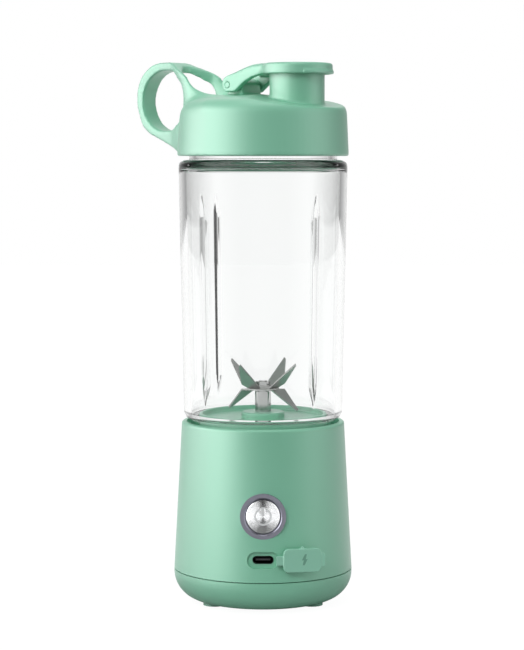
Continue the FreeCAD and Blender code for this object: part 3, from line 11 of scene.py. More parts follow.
import bpy
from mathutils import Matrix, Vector

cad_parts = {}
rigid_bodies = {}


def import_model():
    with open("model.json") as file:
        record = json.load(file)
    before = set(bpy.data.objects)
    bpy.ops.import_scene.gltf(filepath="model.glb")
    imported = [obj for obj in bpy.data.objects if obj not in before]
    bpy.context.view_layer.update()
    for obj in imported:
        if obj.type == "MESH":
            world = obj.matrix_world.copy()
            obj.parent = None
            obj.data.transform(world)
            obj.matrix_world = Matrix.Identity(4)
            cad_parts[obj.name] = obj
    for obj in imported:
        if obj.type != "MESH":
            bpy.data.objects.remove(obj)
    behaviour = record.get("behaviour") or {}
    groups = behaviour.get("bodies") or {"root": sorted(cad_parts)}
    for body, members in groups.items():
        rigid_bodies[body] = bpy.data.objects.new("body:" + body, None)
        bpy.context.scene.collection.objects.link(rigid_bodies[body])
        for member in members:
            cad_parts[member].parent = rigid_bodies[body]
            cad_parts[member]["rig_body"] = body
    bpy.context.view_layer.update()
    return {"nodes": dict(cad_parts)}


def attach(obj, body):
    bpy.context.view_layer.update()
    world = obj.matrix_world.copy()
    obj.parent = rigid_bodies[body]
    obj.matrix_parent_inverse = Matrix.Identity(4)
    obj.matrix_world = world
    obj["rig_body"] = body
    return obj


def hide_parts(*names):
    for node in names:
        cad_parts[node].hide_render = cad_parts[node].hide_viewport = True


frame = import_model()
nodes = frame["nodes"]
MM = 0.001

# %% [markdown]
# ## The camera
# A long lens from a little under a metre away flattens the blender, so that the jar's rim and foot look
# nearly level. The camera stands slightly above the middle and looks down by a few degrees.

# %% Camera
CAMERA_PLACE = (-0.00045, -0.938, 0.1979)
LOOKS_DOWN = math.radians(4.49)
FOCAL_PIXELS = 2100
PICTURE_TALL = 650

lens = bpy.data.cameras.new("long_lens")
lens.lens = lens.sensor_width * FOCAL_PIXELS / PICTURE_TALL
camera = bpy.data.objects.new("camera", lens)
camera.location = CAMERA_PLACE
camera.rotation_euler = (math.pi / 2 - LOOKS_DOWN, 0, 0)
bpy.context.scene.collection.objects.link(camera)
bpy.context.scene.camera = camera
print(f"lens {lens.lens:.1f} mm")

# %% [markdown]
# ## Shader maths as Python
# A material is a graph of nodes. Wrapping a socket in a small class lets the graph be written as sums: each
# operator below adds one Math node, and numbers alone are still worked out by Python. Every other node comes
# from `Finish.node`, which sets a node's own settings first and then fills or links its sockets.

# %% Socket arithmetic
class Level:
    """A number that may change over a surface."""

    def __init__(self, finish, socket):
        self.finish = finish
        self.socket = socket

    def maths(self, operation, *terms):
        inputs = dict(enumerate(terms))
        return self.finish.node("ShaderNodeMath", {"operation": operation}, inputs).level()

    def __add__(self, other):
        return self.maths("ADD", self, other)

    def __mul__(self, other):
        return self.maths("MULTIPLY", self, other)

    def __sub__(self, other):
        return self.maths("SUBTRACT", self, other)

    def __rsub__(self, other):
        return self.maths("SUBTRACT", other, self)

    def __truediv__(self, other):
        return self.maths("DIVIDE", self, other)

    def __gt__(self, other):
        return self.maths("GREATER_THAN", self, other)

    def __lt__(self, other):
        return self.maths("LESS_THAN", self, other)

    def __neg__(self):
        return self.maths("MULTIPLY", self, -1.0)

    def __abs__(self):
        return self.maths("ABSOLUTE", self)

    def clamped(self):
        return self.larger(0.0).smaller(1.0)

    def smaller(self, other):
        return self.maths("MINIMUM", self, other)

    def rising(self, low, high):
        """0 below low, 1 above high, and a straight ramp between them."""
        return ((self - low) / (high - low)).clamped()

    def larger(self, other):
        return self.maths("MAXIMUM", self, other)

    __radd__ = __add__
    __rmul__ = __mul__


class Made:
    """A node that has been made, with short ways to take one of its outputs."""

    def __init__(self, finish, node):
        self.finish = finish
        self.node = node

    def out(self, name=0):
        return self.node.outputs[name]

    def level(self, name=0):
        return Level(self.finish, self.node.outputs[name])


class Finish:
    """One material and the nodes in it."""

    def __init__(self, name):
        self.material = bpy.data.materials.new(name)
        self.material.use_nodes = True
        self.tree = self.material.node_tree
        self.shader = Made(self, self.tree.nodes["Principled BSDF"])

    def fill(self, node, inputs):
        for name, value in inputs.items():
            socket = node.inputs[name]
            if isinstance(value, Level):
                value = value.socket
            if isinstance(value, bpy.types.NodeSocket):
                self.tree.links.new(value, socket)
            else:
                socket.default_value = value

    def node(self, kind, settings=None, inputs=None):
        node = self.tree.nodes.new(kind)
        for name, value in (settings or {}).items():
            setattr(node, name, value)
        self.fill(node, inputs or {})
        return Made(self, node)

    def place(self):
        """Where a point lies, in metres in the shared frame."""
        return self.node("ShaderNodeTexCoord").out("Object")

    def coordinates(self, vector):
        """The three numbers of a vector, each as a level."""
        parts = self.node("ShaderNodeSeparateXYZ", inputs={0: vector})
        return parts.level("X"), parts.level("Y"), parts.level("Z")

    def crossfade(self, share, first, second):
        """Shows the first shader where share is 0 and the second where it is 1."""
        blend = self.node("ShaderNodeMixShader", inputs={0: share, 1: first.out(), 2: second.out()})
        self.fill(self.tree.nodes["Material Output"], {"Surface": blend.out()})

    def stretched(self, scale):
        return self.node("ShaderNodeMapping", inputs={"Vector": self.place(), "Scale": scale}).out()

    def noise(self, size, detail=2.0, vector=None):
        """Cloudy noise whose lumps are about size metres across, from 0 to 1."""
        inputs = {"Vector": vector or self.place(), "Scale": 1 / size, "Detail": detail}
        return self.node("ShaderNodeTexNoise", inputs=inputs).level("Fac")

    def mix(self, share, first, second):
        inputs = {"Factor": share, 6: first, 7: second}
        return self.node("ShaderNodeMix", {"data_type": "RGBA"}, inputs).out(2)

    def bump(self, height, strength, distance):
        inputs = {"Height": height, "Strength": strength, "Distance": distance}
        return self.node("ShaderNodeBump", inputs=inputs).out()

    def looks(self, **inputs):
        """Fills the shader's sockets; base_color stands for Base Color and so on."""
        named = {}
        for key, value in inputs.items():
            words = key.replace("ior", "IOR").split("_")
            named[" ".join(word if word.isupper() else word.capitalize() for word in words)] = value
        self.fill(self.shader.node, named)
        return self.material


def paint(red, green, blue):
    """A colour picked on the screen, from 0 to 255, as the linear values that shaders use."""
    channels = []
    for value in (red, green, blue):
        share = value / 255
        channels.append(share / 12.92 if share <= 0.04045 else ((share + 0.055) / 1.055) ** 2.4)
    return (*channels, 1.0)


def wear(material, *names):
    """Gives the material to solids or pieces."""
    for name in names:
        thing = nodes.get(name) or bpy.data.objects[name]
        thing.data.materials.clear()
        thing.data.materials.append(material)
    print(material.name, "on", ", ".join(names))


# %% [markdown]
# ## Moulded mint plastic
# The base, the lid and the cap are moulded in one mint green, with the fine even grain of a spark-eroded
# mould. The grain is far too fine to see as lumps, but it spreads every highlight into a satin sheen, which
# is broad and pale because the moulding has a clear skin over its pigment. The shader's coat is that skin.
# Two scales of noise do the rest: a bump of a fifth of a millimetre, and a slow drift of the roughness.

# %% Mint plastic
MINT = paint(127, 201, 169)
MINT_DEEP = paint(120, 196, 162)


def moulded(name, colour, deeper, roughness, skin, grain=0.0002, lift=0.00001):
    """A moulded finish; skin is how much of the clear pale coat it has."""
    finish = Finish(name)
    drift = finish.noise(0.03, 3.0)
    fine = finish.noise(grain, 2.0)
    finish.looks(
        base_color=finish.mix(drift, deeper, colour),
        roughness=roughness + 0.06 * (drift - 0.5) + 0.05 * (fine - 0.5),
        normal=finish.bump(fine, 0.35, lift))
    return finish.looks(specular_ior_level=0.8, coat_weight=skin, coat_roughness=0.5, coat_ior=1.6)


mint_plastic = moulded("mint_plastic", MINT, MINT_DEEP, 0.46, 1.0)
wear(mint_plastic, "base_housing", "bottom_cap", "blade_seat", "hinge_pin")

# %% [markdown]
# ## Steel
# The blades are ground from sheet, so fine scratches run along them in one direction. Stretching the noise
# far more one way than the others draws such scratches. The shaft and its sleeve are turned and polished.

# %% Steels
def ground_steel(name, colour, roughness, scratch, depth=0.00002):
    finish = Finish(name)
    scratches = finish.noise(1.0, 3.0, finish.stretched(scratch))
    clouds = finish.noise(0.004, 2.0)
    shade = tuple(0.82 * part for part in colour[:3]) + (1.0,)
    return finish.looks(
        base_color=finish.mix(scratches, shade, colour), metallic=1.0,
        roughness=roughness + 0.16 * (scratches - 0.5) + 0.08 * (clouds - 0.5),
        normal=finish.bump(scratches, 0.25, depth))


blade_steel = ground_steel("blade_steel", paint(198, 199, 197), 0.38, (2500, 2500, 9000))
polished_steel = ground_steel("polished_steel", paint(205, 206, 205), 0.14, (400, 400, 12000), 0.000004)
plated_steel = ground_steel("plated_steel", paint(168, 170, 173), 0.4, (1500, 1500, 1500))
wear(blade_steel, "lower_blade", "upper_blade_a", "upper_blade_b", "hub_washer")
wear(polished_steel, "bearing_sleeve", "blade_shaft", "blade_nut", "motor_shaft")
wear(plated_steel, "cap_screws", "seat_screws", "bracket_screws", "motor_screws", "motor_can",
     "motor_bracket")

# %% [markdown]
# ## The parts that nobody sees
# The motor, its cells and the board are shut inside the base, but a part that is opened or cut through should
# still look like what it is, so each gets its own plain finish with a little unevenness. The port's steel
# shell is the exception: its colour is darkened far below steel with painted shade of the port's deep mouth.

# %% Inner finishes
def plain(name, colour, roughness, metallic=0.0, lump=0.002, drift=0.12):
    finish = Finish(name)
    cloud = finish.noise(lump, 3.0)
    darker = tuple((1 - drift) * part for part in colour[:3]) + (1.0,)
    return finish.looks(
        base_color=finish.mix(cloud, darker, colour), metallic=metallic,
        roughness=roughness + 0.1 * (cloud - 0.5), normal=finish.bump(cloud, 0.2, 0.00003))


wear(plain("black_plastic", paint(24, 24, 26), 0.5), "motor_end_cap", "drive_coupling", "tact_switch",
     "battery_cradle")
wear(plain("tongue_plastic", paint(84, 86, 88), 0.5, 0.0, 0.0006), "usb_tongue")
# The port's steel shell is coloured nearly black, which is painted shade inside the port's mouth.
wear(plain("port_steel", paint(66, 70, 68), 0.3, 1.0, 0.0006), "usb_shell")
wear(plain("silicone", paint(222, 226, 222), 0.5), "jar_seal", "lid_gasket", "spout_plug")
wear(plain("black_rubber", paint(32, 32, 32), 0.7), "shaft_seal")
wear(plain("bronze_bush", paint(176, 138, 88), 0.45, 1.0), "shaft_bush")
wear(plain("brass", paint(200, 170, 100), 0.3, 1.0), "motor_terminals")
wear(plain("magnet", paint(52, 52, 54), 0.6), "motor_magnets")
wear(plain("armature", paint(150, 92, 58), 0.35, 0.7), "motor_armature")
wear(plain("board_green", paint(28, 104, 62), 0.35), "control_board")
wear(plain("cell_sleeve", paint(48, 104, 178), 0.3), "battery_cells")

# %% [markdown]
# ## Soft mint parts
# The port cover and the feet are an elastomer in the same mint, softer and a touch duller than the plastic.

# %% Mint rubber
RUBBER, RUBBER_DEEP = paint(140, 205, 178), paint(134, 200, 172)
wear(moulded("mint_rubber", RUBBER, RUBBER_DEEP, 0.55, 0.6, 0.00015, 0.000012), "rubber_feet")

# %% [markdown]
# ## Relaxing a solid into a moulding
# A solid from CAD has knife-sharp edges where its forms meet. Moulded plastic never has: tools cut with round
# cutters, and designers blend one form into the next. A voxel remesh turns the solid into an even skin of
# small squares, and a few rounds of smoothing then soften every edge by about the same amount.

# %% Remeshed copies
WELD_GAP, SMOOTH_SHARE = 0.000002, 0.5


def baked(piece):
    """Turns what the piece's modifiers make into its own mesh."""
    bpy.context.view_layer.update()
    shaped = bpy.data.meshes.new_from_object(piece.evaluated_get(bpy.context.evaluated_depsgraph_get()))
    piece.modifiers.clear()
    piece.data = shaped
    shaped.shade_smooth()


def relaxed(name, node, voxel, rounds):
    """A finely remeshed and smoothed copy of a solid that takes the solid's place."""
    copy = bpy.data.objects.new(name, nodes[node].data.copy())
    bpy.context.scene.collection.objects.link(copy)
    weld = copy.modifiers.new("weld", "WELD")
    weld.merge_threshold = WELD_GAP
    remesh = copy.modifiers.new("remesh", "REMESH")
    remesh.mode = "VOXEL"
    remesh.voxel_size = voxel
    smooth = copy.modifiers.new("smooth", "SMOOTH")
    smooth.factor = SMOOTH_SHARE
    smooth.iterations = rounds
    baked(copy)
    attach(copy, nodes[node]["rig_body"])
    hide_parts(node)
    print(name, len(copy.data.vertices), "points")
    return copy


lid = relaxed("lid", "lid_shell", 0.0006, 10)
cap = relaxed("flip_cap", "spout_cap", 0.0004, 6)
wear(mint_plastic, "lid", "flip_cap")

# %% [markdown]
# The two arms of the finger loop flow out of the dome and the skirt with no visible crease. Such a blend is
# far larger than the other edges, so it gets many more rounds of smoothing, held to that zone by a vertex
# group whose weights fade at its borders. The two shoulders where the cap's lever runs into its disc are
# softened in the same way. Along is measured in the lid's own frame, where the spout is ahead.

# %% Melting the roots of loop and lever
LID_TURN = math.radians(-40.0)
AHEAD = Vector((math.cos(LID_TURN), math.sin(LID_TURN), 0))
ASIDE = Vector((-math.sin(LID_TURN), math.cos(LID_TURN), 0))


def fading(value, low, high, border):
    """1 between low and high, fading to 0 over the border outside them."""
    return max(0.0, min(1.0, (value - low) / border + 1, (high - value) / border + 1))


def melt(piece, zone, rounds):
    """Smooths the piece only where zone(along, aside, up), in millimetres, gives more than 0."""
    group = piece.vertex_groups.new(name="melt")
    count = 0
    for point in piece.data.vertices:
        share = zone(point.co.dot(AHEAD) / MM, point.co.dot(ASIDE) / MM, point.co.z / MM)
        if share > 0:
            group.add([point.index], share, "REPLACE")
            count += 1
    smooth = piece.modifiers.new("melt", "SMOOTH")
    smooth.factor = SMOOTH_SHARE
    smooth.iterations = rounds
    smooth.vertex_group = "melt"
    baked(piece)
    print(piece.name, count, "points melted")


def loop_roots(along, aside, up):
    near_wall = fading(math.hypot(along, aside), 18, 41, 4)
    return near_wall * fading(along, -60, -10, 6) * fading(abs(aside), 9, 40, 3) * fading(up, 211, 231, 4)


melt(lid, loop_roots, 300)


def lever_shoulders(along, aside, up):
    return fading(along, -9, 10, 4) * fading(abs(aside), 3, 20, 2) * fading(up, 237, 245, 2)


melt(cap, lever_shoulders, 150)

# %% [markdown]
# The charging port's cover is one soft moulding with its strap and its pull tab. The bolt on it marks a
# charging port; it is pressed into the rubber, so a mask in the material makes it lower with a bump and
# darker with painted shade for its sunk strokes.

# %% Port cover
IN_MM = 1000
COVER_TURN, BOLT_ASIDE, BOLT_HEIGHT = math.radians(11.0), 10.2, 25.4
BOLT_TIP, BOLT_LAP = 2.4, 0.25
BACK_LEAN, BACK_REACH, FRONT_LEAN, FRONT_REACH = 0.5, 1.15, 0.25, 0.35


def pressed_rubber():
    finish = Finish("pressed_rubber")
    x, y, z = finish.coordinates(finish.place())
    across = (x * math.cos(COVER_TURN) + y * math.sin(COVER_TURN)) * IN_MM - BOLT_ASIDE
    up = z * IN_MM - BOLT_HEIGHT
    upper = (up > -BOLT_LAP) * (up < BOLT_TIP)
    upper = upper * (across > BACK_LEAN * up - BACK_REACH) * (across < FRONT_LEAN * up + FRONT_REACH)
    lower = (up < BOLT_LAP) * (up > -BOLT_TIP)
    lower = lower * (across < BACK_LEAN * up + BACK_REACH) * (across > FRONT_LEAN * up - FRONT_REACH)
    bolt = upper.larger(lower)
    fine = finish.noise(0.00015, 2.0)
    pressed = fine * 0.12 - bolt
    # Inside the bolt the rubber's colour is darkened: painted shade of the pressed-in strokes, while the bump
    # makes them really lower.
    return finish.looks(
        base_color=finish.mix(bolt, RUBBER, paint(100, 160, 136)), roughness=0.55 + 0.05 * (fine - 0.5),
        specular_ior_level=0.8, coat_weight=0.6, coat_roughness=0.5, coat_ior=1.6,
        normal=finish.bump(pressed, 0.5, 0.0001))


cover = relaxed("soft_cover", "port_cover", 0.00022, 6)
wear(pressed_rubber(), "soft_cover")

# %% [markdown]
# ## The clear jar
# Clear plastic shows every flaw of its mesh, so the jar is turned here as one smooth skin with both its
# walls, rather than taken from the solid. The skin is a grid: rows follow the wall's outline from the inside
# of the collar, up the outside and down the inside, and columns go round. The ribs and both threads are
# made by moving grid points outward or inward, so they melt into the wall as they do in a mould.

# %% Jar outline
COLLAR_LOW, JAR_FOOT, JAR_FLOOR, JAR_CEILING, JAR_TOP, NECK_TOP = 73.0, 83.0, 84.3, 195.0, 198.0, 214.5
JAR_OUTLINE = [
    # radius, height, corner radius, longest gap between rows
    (29.2, COLLAR_LOW, 0.2, 1.0), (32.4, COLLAR_LOW, 0.3, 0.25), (32.4, JAR_FOOT, 0.2, 0.6),
    (34.3, JAR_FOOT, 1.4, 0.5), (35.55, 85.6, 2.2, 4.0), (37.7, JAR_TOP, 3.4, 1.0),
    (33.0, JAR_TOP, 0.4, 0.25), (33.0, NECK_TOP, 0.5, 1.0), (30.0, NECK_TOP, 0.5, 2.0),
    (30.0, JAR_CEILING, 1.2, 1.0), (34.5, JAR_CEILING, 2.8, 1.2), (32.3, JAR_FLOOR, 0.9, 0.8),
    (29.2, JAR_FLOOR, 0.3, 2.0)]


def rounded(corners, bend_steps=7):
    """Points along a closed outline with its corners rounded, spaced by each run's longest gap."""
    stops = []
    count = len(corners)
    for index, (radius, height, bend, gap) in enumerate(corners):
        here = Vector((radius, height))
        back = (Vector(corners[index - 1][:2]) - here).normalized()
        ahead = (Vector(corners[(index + 1) % count][:2]) - here).normalized()
        half = back.angle(ahead) / 2
        reach = bend / math.tan(half)
        start, end = here + back * reach, here + ahead * reach
        for step in range(bend_steps + 1):
            share = step / bend_steps
            curve = (1 - share) ** 2 * start + 2 * share * (1 - share) * here + share ** 2 * end
            stops.append((curve, gap if step == bend_steps else None))
    points = []
    for index, (spot, gap) in enumerate(stops):
        points.append(spot)
        if gap:
            following = stops[(index + 1) % len(stops)][0]
            pieces = max(1, math.ceil((following - spot).length / gap))
            points += [spot.lerp(following, step / pieces) for step in range(1, pieces)]
    return points


jar_rows = rounded(JAR_OUTLINE)
print(len(jar_rows), "rows round the wall")

# %% [markdown]
# A rib is a fin that starts and ends in a point: both its depth and its width fade over the last ten
# millimetres. A thread is a ridge that climbs one pitch per turn. Each helper returns how far a wall point
# moves along the radius, in millimetres. The last one looks up which wall the point is on.

# %% Ribs and threads
RIB_TURN, RIB_LOW, RIB_HIGH, RIB_FADE, RIB_DEPTH, RIB_HALF = 41.0, 91.0, 182.0, 10.0, 3.0, 1.5
PITCH, TURNS, THREAD_RUN_OUT, RIDGE_HALF, RIDGE_FLANK = 4.0, 0.95, 12, 0.95, 0.5
# each wall's radius from and to, then its height from and to
INNER_WALL, COLLAR_WALL = (31.0, 34.8, 87, 194), (32.0, 33.4, 73.3, 82.5)
NECK_WALL = (32.7, 33.4, 198.6, 214.2)
# where each thread starts, and how far it stands out
COLLAR_THREAD, NECK_THREAD = (74.6, 1.2), (204.5, 1.3)


def rib_move(angle, height, radius):
    """How far a rib stands in from the wall at this angle (degrees) and height."""
    if not RIB_LOW < height < RIB_HIGH:
        return 0.0
    fade = min(1.0, (height - RIB_LOW) / RIB_FADE, (RIB_HIGH - height) / RIB_FADE)
    fade = math.sin(fade * math.pi / 2)
    aside = abs((angle - RIB_TURN + 45) % 90 - 45)
    across = math.radians(aside) * radius / (RIB_HALF * (0.35 + 0.65 * fade))
    return -RIB_DEPTH * fade * max(0.0, 1 - across ** 2.4) if across < 1 else 0.0


def thread_move(angle, height, start, depth):
    """How far a thread stands out from the wall; it starts at the height given, at angle 0."""
    fade = max(0.0, min(1.0, angle / THREAD_RUN_OUT, (TURNS * 360 - angle) / THREAD_RUN_OUT))
    off = abs(height - start - PITCH * angle / 360)
    return depth * fade * max(0.0, min(1.0, (RIDGE_HALF - off) / RIDGE_FLANK))


def on_wall(radius, height, wall):
    inside, outside, low, high = wall
    return inside < radius < outside and low < height < high


def wall_move(angle, height, radius):
    """How far a rib or a thread moves this point of the outline."""
    if on_wall(radius, height, INNER_WALL):
        return rib_move(angle, height, radius)
    if on_wall(radius, height, COLLAR_WALL):
        return thread_move(angle, height, *COLLAR_THREAD)
    if on_wall(radius, height, NECK_WALL):
        return thread_move(angle, height, *NECK_THREAD)
    return 0.0


print("ribs", RIB_DEPTH, "mm deep, thread pitch", PITCH, "mm")

# %% [markdown]
# The columns stand one degree apart, and a quarter of a degree at the four ribs, whose sides are steep. Each
# face joins two rows and two columns, and the last row and column join the first, so the skin is closed.

# %% Jar skin
FINE_STEP, FINE_STEPS = 0.25, 14


def jar_columns():
    """Angles in degrees: even steps all round, and much finer ones at the four ribs."""
    angles = set(range(360))
    for rib in range(4):
        middle = RIB_TURN + 90 * rib
        angles |= {round((middle + step * FINE_STEP) % 360, 2) for step in range(-FINE_STEPS, FINE_STEPS + 1)}
    return sorted(angles)


def make_jar():
    columns = jar_columns()
    skin = bpy.data.meshes.new("clear_jar")
    points = []
    for angle in columns:
        for radius, height in jar_rows:
            reach = (radius + wall_move(angle, height, radius)) * MM
            turn = math.radians(angle)
            points.append((reach * math.cos(turn), reach * math.sin(turn), height * MM))
    rows, around = len(jar_rows), len(columns)
    faces = []
    for column in range(around):
        here, beside = column * rows, (column + 1) % around * rows
        for row in range(rows):
            following = (row + 1) % rows
            faces.append((here + row, beside + row, beside + following, here + following))
    skin.from_pydata(points, [], faces)
    skin.shade_smooth()
    jar = bpy.data.objects.new("clear_jar", skin)
    bpy.context.scene.collection.objects.link(jar)
    return jar


clear_jar = make_jar()
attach(clear_jar, "beaker")
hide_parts("jar")
print("jar skin", len(clear_jar.data.polygons), "faces")

# %% [markdown]
# ## Clear plastic
# The shader's transmission makes a solid block of clear stuff out of the closed skin, and its index bends the
# view at each wall. Lamps can't follow those bends, so everything inside would stand in black shadow: rays
# that carry light to a matt surface pass straight through a plain Transparent shader instead.

# %% Clear plastic
CLEAR_TINT = (0.988, 0.995, 0.992, 1.0)


def clear_plastic():
    finish = Finish("clear_plastic")
    ripple = finish.noise(1.0, 2.0, finish.stretched((60, 60, 12)))
    finish.looks(
        base_color=CLEAR_TINT, roughness=0.015, ior=1.47, transmission_weight=1.0,
        normal=finish.bump(ripple, 0.06, 0.0004))
    open_way = finish.node("ShaderNodeBsdfTransparent", inputs={"Color": CLEAR_TINT})
    path = finish.node("ShaderNodeLightPath")
    lighting = path.level("Is Shadow Ray").larger(path.level("Is Diffuse Ray"))
    finish.crossfade(lighting, finish.shader, open_way)
    return finish.material


wear(clear_plastic(), "clear_jar")

# %% [markdown]
# ## The power button
# The button is a spun aluminium cap in a grey ring. A spinning tool leaves fine grooves round the middle, and
# they pull each highlight into a fan of light across it. Grooves only do that if they are really there, so
# the face is turned here as a disc of rings whose heights rise and fall. It is slightly crowned, falling
# nearly half a millimetre from the middle to the edge, and the power symbol is sunk into it, but not into
# the back.

# %% Button face
BUTTON_HEIGHT, BUTTON_FACE, BUTTON_RADIUS, EDGE_BEND = 44.0, 39.0, 7.5, 0.5
FLANGE_RADIUS, FLANGE_FACE, FLANGE_THICK, BACK_RADIUS = 8.3, 35.05, 1, 2.0
GROOVE_PITCH, GROOVE_DEPTH, GROOVE_STEPS, BEND_STEPS = 0.26, 0.03, 6, 6
SYMBOL_DEPTH, SYMBOL_ZONE, SYMBOL_SLOPE = 0.25, 6.0, 0.35
ARC_RADIUS, ARC_OPEN, ARC_STROKE, BAR_UP, BAR_HALF, BAR_STROKE = 3.4, 1.4, 0.35, 2.3, 1.2, 0.65
FACE_CROWN = 0.45


def symbol_distance(across, up):
    """How far a point of the face is from the symbol's strokes; 1 is at a stroke's edge."""
    arc = abs(math.hypot(across, up) - ARC_RADIUS)
    if up > 0 and abs(across) < ARC_OPEN:
        arc = math.hypot(abs(across) - ARC_OPEN, up - math.sqrt(ARC_RADIUS ** 2 - ARC_OPEN ** 2))
    bar = math.hypot(across, up - max(BAR_UP - BAR_HALF, min(BAR_UP + BAR_HALF, up)))
    return min(arc / ARC_STROKE, bar / BAR_STROKE)


def button_profile():
    """Radius and how far forward, from the middle of the face out and back to the flange."""
    flat = BUTTON_RADIUS - EDGE_BEND
    count = round(flat / GROOVE_PITCH * GROOVE_STEPS)
    points = []
    for step in range(1, count + 1):
        radius = flat * step / count
        groove = math.cos(2 * math.pi * radius / GROOVE_PITCH)
        crown = FACE_CROWN * (radius / BUTTON_RADIUS) ** 2
        points.append((radius, BUTTON_FACE - crown + GROOVE_DEPTH * 0.5 * (groove - 1)))
    for step in range(1, BEND_STEPS + 1):
        turn = math.pi / 2 * step / BEND_STEPS
        points.append((flat + EDGE_BEND * math.sin(turn),
                       BUTTON_FACE - FACE_CROWN - EDGE_BEND + EDGE_BEND * math.cos(turn)))
    back = FLANGE_FACE - FLANGE_THICK
    return points + [(BUTTON_RADIUS, FLANGE_FACE), (FLANGE_RADIUS, FLANGE_FACE), (FLANGE_RADIUS, back),
                     (BACK_RADIUS, back)]


print(len(button_profile()), "points from the middle of the face to the back")

# %% [markdown]
# The profile is turned round the middle into a closed disc. Where a point of the face lies on one of the
# symbol's strokes it is pushed back, with a short slope at the stroke's edge.

# %% Turned button
def make_button():
    profile, around = button_profile(), 240
    points = [(0, -BUTTON_FACE * MM, BUTTON_HEIGHT * MM)]
    for turn in range(around):
        angle = 2 * math.pi * turn / around
        for radius, forward in profile:
            across, up = radius * math.cos(angle), radius * math.sin(angle)
            if radius < SYMBOL_ZONE and forward > FLANGE_FACE:
                forward -= SYMBOL_DEPTH * fading(symbol_distance(across, up), -1, 1, SYMBOL_SLOPE)
            points.append((across * MM, -forward * MM, (BUTTON_HEIGHT + up) * MM))
    rows = len(profile)
    faces = []
    for turn in range(around):
        here, beside = 1 + turn * rows, 1 + (turn + 1) % around * rows
        faces.append((0, here, beside))
        faces += [(here + row, here + row + 1, beside + row + 1, beside + row) for row in range(rows - 1)]
    faces.append([1 + turn * rows + rows - 1 for turn in range(around)])
    disc = bpy.data.meshes.new("spun_button")
    disc.from_pydata(points, [], faces)
    disc.shade_smooth()
    button = bpy.data.objects.new("spun_button", disc)
    bpy.context.scene.collection.objects.link(button)
    print("button", len(faces), "faces")
    return button


button = make_button()
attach(button, "button")
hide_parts("power_button")

# %% [markdown]
# The grooves are left bright and the sunk symbol is filled with pale lacquer. How far a point lies below the
# face tells the material which of the two it is looking at.

# %% Button and ring finishes
LACQUER_FROM, LACQUER_FULL, LACQUER_ZONE = 0.08, 0.16, 0.0058


def spun_metal():
    finish = Finish("button_metal")
    x, y, z = finish.coordinates(finish.place())
    up = z - BUTTON_HEIGHT * MM
    crown = (x * x + up * up) * (FACE_CROWN / (BUTTON_RADIUS * MM) ** 2)
    sunk = (y * IN_MM - crown).rising(LACQUER_FROM - BUTTON_FACE, LACQUER_FULL - BUTTON_FACE)
    middle = finish.node("ShaderNodeVectorMath", {"operation": "MULTIPLY"}, {0: finish.place(), 1: (1, 0, 1)})
    offset = finish.node("ShaderNodeVectorMath", {"operation": "SUBTRACT"},
                         {0: middle.out(), 1: (0, 0, BUTTON_HEIGHT * MM)})
    away = finish.node("ShaderNodeVectorMath", {"operation": "LENGTH"}, {0: offset.out()}).level("Value")
    lacquer = sunk * (away < LACQUER_ZONE)
    uneven = finish.noise(0.0015, 2.0)
    metal = finish.mix(uneven, paint(205, 206, 207), paint(226, 227, 228))
    return finish.looks(
        base_color=finish.mix(lacquer, metal, paint(205, 207, 208)), metallic=1.0 - 0.7 * lacquer,
        roughness=0.17 + 0.08 * (uneven - 0.5) + 0.25 * lacquer, normal=finish.bump(uneven, 0.1, 0.00001))


wear(spun_metal(), "spun_button")
wear(plain("bezel_grey", paint(140, 140, 152), 0.34, 1.0, 0.0008, 0.05), "button_bezel")

# %% [markdown]
# ## Floor, air and lamps
# The air is white to the camera. Mirrors and clear walls see a small studio in it instead: a backdrop behind
# the object, whitest in its middle, pale walls towards the front on both sides, and a dark gap elsewhere,
# which draws the dark lines in steel and at the jar's edges. Rays that leave a clear wall towards the front
# find a pale front instead of the gap, or the jar would look grey from behind. Matt surfaces gather a plain
# level from the air, half as strong from below.

# %% World
AMBIENT, UNDER_LIGHT, STUDIO_DARK = 0.56, 0.5, 0.06
WALL_GLOW, FRONT_GLOW, BACKDROP_GLOW, BACKDROP_FALL = 1.0, 0.85, 1.15, 1.3


class Air(Finish):
    """The world's own node tree, with the same ways to add nodes."""

    def __init__(self):
        world = bpy.data.worlds.new("white_air")
        world.use_nodes = True
        bpy.context.scene.world = world
        self.tree = world.node_tree


air = Air()
path = air.node("ShaderNodeLightPath")
x, y, z = air.coordinates(air.node("ShaderNodeTexCoord").out("Generated"))
backdrop = (BACKDROP_GLOW - abs(x) * BACKDROP_FALL).clamped() * y.rising(0.0, 0.35)
walls = abs(x).rising(0.55, 0.95) * (-y).rising(-0.1, 0.3)
studio = STUDIO_DARK + backdrop * (1 - STUDIO_DARK) + walls * (WALL_GLOW - STUDIO_DARK)
from_behind = (-y).rising(0.0, 0.35) * path.level("Is Transmission Ray")
studio = studio.larger(from_behind * FRONT_GLOW)
even = AMBIENT * (UNDER_LIGHT + (1 - UNDER_LIGHT) * z.rising(-0.2, 0.2))
mirrors = path.level("Is Glossy Ray").larger(path.level("Is Transmission Ray"))
level = even + mirrors * (studio - even)
straight = path.level("Is Camera Ray")
air.fill(air.tree.nodes["Background"], {"Color": (1, 1, 1, 1), "Strength": level + straight * (1 - level)})
print("even light", AMBIENT)

# %% [markdown]
# The floor looks white as well, but a fifth of it is left as a real matt surface, so that it keeps the
# object's soft shadow. It ends twelve centimetres in front of the object's axis, and mirrors see its glow
# only behind the object, so that the moulding's lower half and the button have something dark to reflect.

# %% Floor
FLOOR_GLOW, GLOW_SHARE, FLOOR_FRONT = 1.2, 0.8, -0.12
floor_mesh = bpy.data.meshes.new("floor")
floor_mesh.from_pydata([(-3, FLOOR_FRONT, 0), (3, FLOOR_FRONT, 0), (3, 3, 0), (-3, 3, 0)], [], [(0, 1, 2, 3)])
floor = bpy.data.objects.new("floor", floor_mesh)
bpy.context.scene.collection.objects.link(floor)


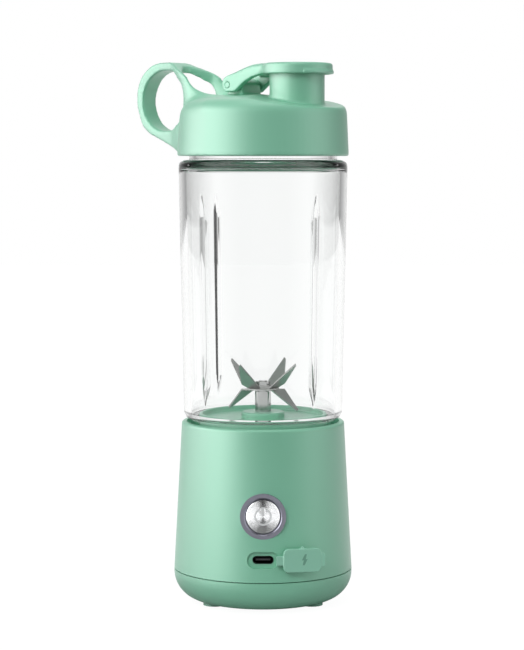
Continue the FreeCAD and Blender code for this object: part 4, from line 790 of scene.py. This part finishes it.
def floor_finish():
    finish = Finish("pale_floor")
    dust = finish.noise(0.05, 3.0)
    finish.looks(base_color=finish.mix(dust, (0.44, 0.44, 0.44, 1), (0.48, 0.48, 0.48, 1)), roughness=0.9)
    glow = finish.node("ShaderNodeEmission", inputs={"Color": (1, 1, 1, 1), "Strength": FLOOR_GLOW})
    path = finish.node("ShaderNodeLightPath")
    x, y, z = finish.coordinates(finish.place())
    mirrored = path.level("Is Glossy Ray") * y.rising(0.0, 0.06)
    seen = path.level("Is Camera Ray").larger(path.level("Is Transmission Ray")).larger(mirrored)
    finish.crossfade(seen * GLOW_SHARE, finish.shader, glow)
    return finish.material


floor_mesh.materials.append(floor_finish())
print("floor from", FLOOR_FRONT, "m")

# %% [markdown]
# A small key lamp high on the front left shapes the forms without making a highlight, and a weak box hangs
# overhead. Two broad silk screens, one each side, light by gloss only and skip the jar: the left one draws
# the wide pale sheen down the plastic, and the weaker right one lifts the far edge, so a darker band is left
# between them. Two more silks in front give gloss to the button and its ring alone, with a gap between them
# that the grooves draw out into a dark strip across the button.

# %% Lamps
MIDDLE = (0, 0, 0.12)
WATTS_PER_AREA = 4


def soft_box(name, place, wide, tall, brightness, sheen_on=None, shiny=True):
    """A lamp that faces the object; with sheen_on it gives gloss only, where that collection allows it."""
    light = bpy.data.lights.new(name, "AREA")
    light.shape = "RECTANGLE"
    light.size = wide
    light.size_y = tall
    light.energy = brightness * WATTS_PER_AREA * wide * tall
    lamp = bpy.data.objects.new(name, light)
    lamp.location = place
    lamp.rotation_euler = (Vector(MIDDLE) - Vector(place)).to_track_quat("-Z", "Y").to_euler()
    lamp.visible_transmission = False
    lamp.visible_glossy = shiny
    if sheen_on:
        lamp.visible_diffuse = False
        lamp.light_linking.receiver_collection = sheen_on
    bpy.context.scene.collection.objects.link(lamp)
    print(name, round(light.energy, 1), "W")


sheen_skips = bpy.data.collections.new("sheen_skips")
sheen_skips.objects.link(clear_jar)
sheen_skips.collection_objects[0].light_linking.link_state = "EXCLUDE"
switch_metal = bpy.data.collections.new("switch_metal")
switch_metal.objects.link(button)
switch_metal.objects.link(nodes["button_bezel"])
soft_box("key_box", (-0.5, -0.95, 0.85), 0.4, 0.4, 8.0, shiny=False)
soft_box("top_box", (0.0, -0.2, 1.1), 0.6, 0.5, 1.6)
soft_box("left_silk", (-1.1, -0.2, 0.2), 1.9, 1.6, 3.1, sheen_on=sheen_skips)
soft_box("front_silk_left", (-0.66, -1.1, 0.1), 1.06, 1.6, 1.3, sheen_on=switch_metal)
soft_box("front_silk_right", (0.66, -1.1, 0.1), 1.06, 1.6, 1.3, sheen_on=switch_metal)
soft_box("right_silk", (1.15, -0.2, 0.2), 0.8, 1.4, 0.8, sheen_on=sheen_skips)

# %% [markdown]
# ## How colours are shown
# The view shows colours as they are mixed, with no film look on top.

# %% Finish
view = bpy.context.scene.view_settings
view.view_transform = "Standard"
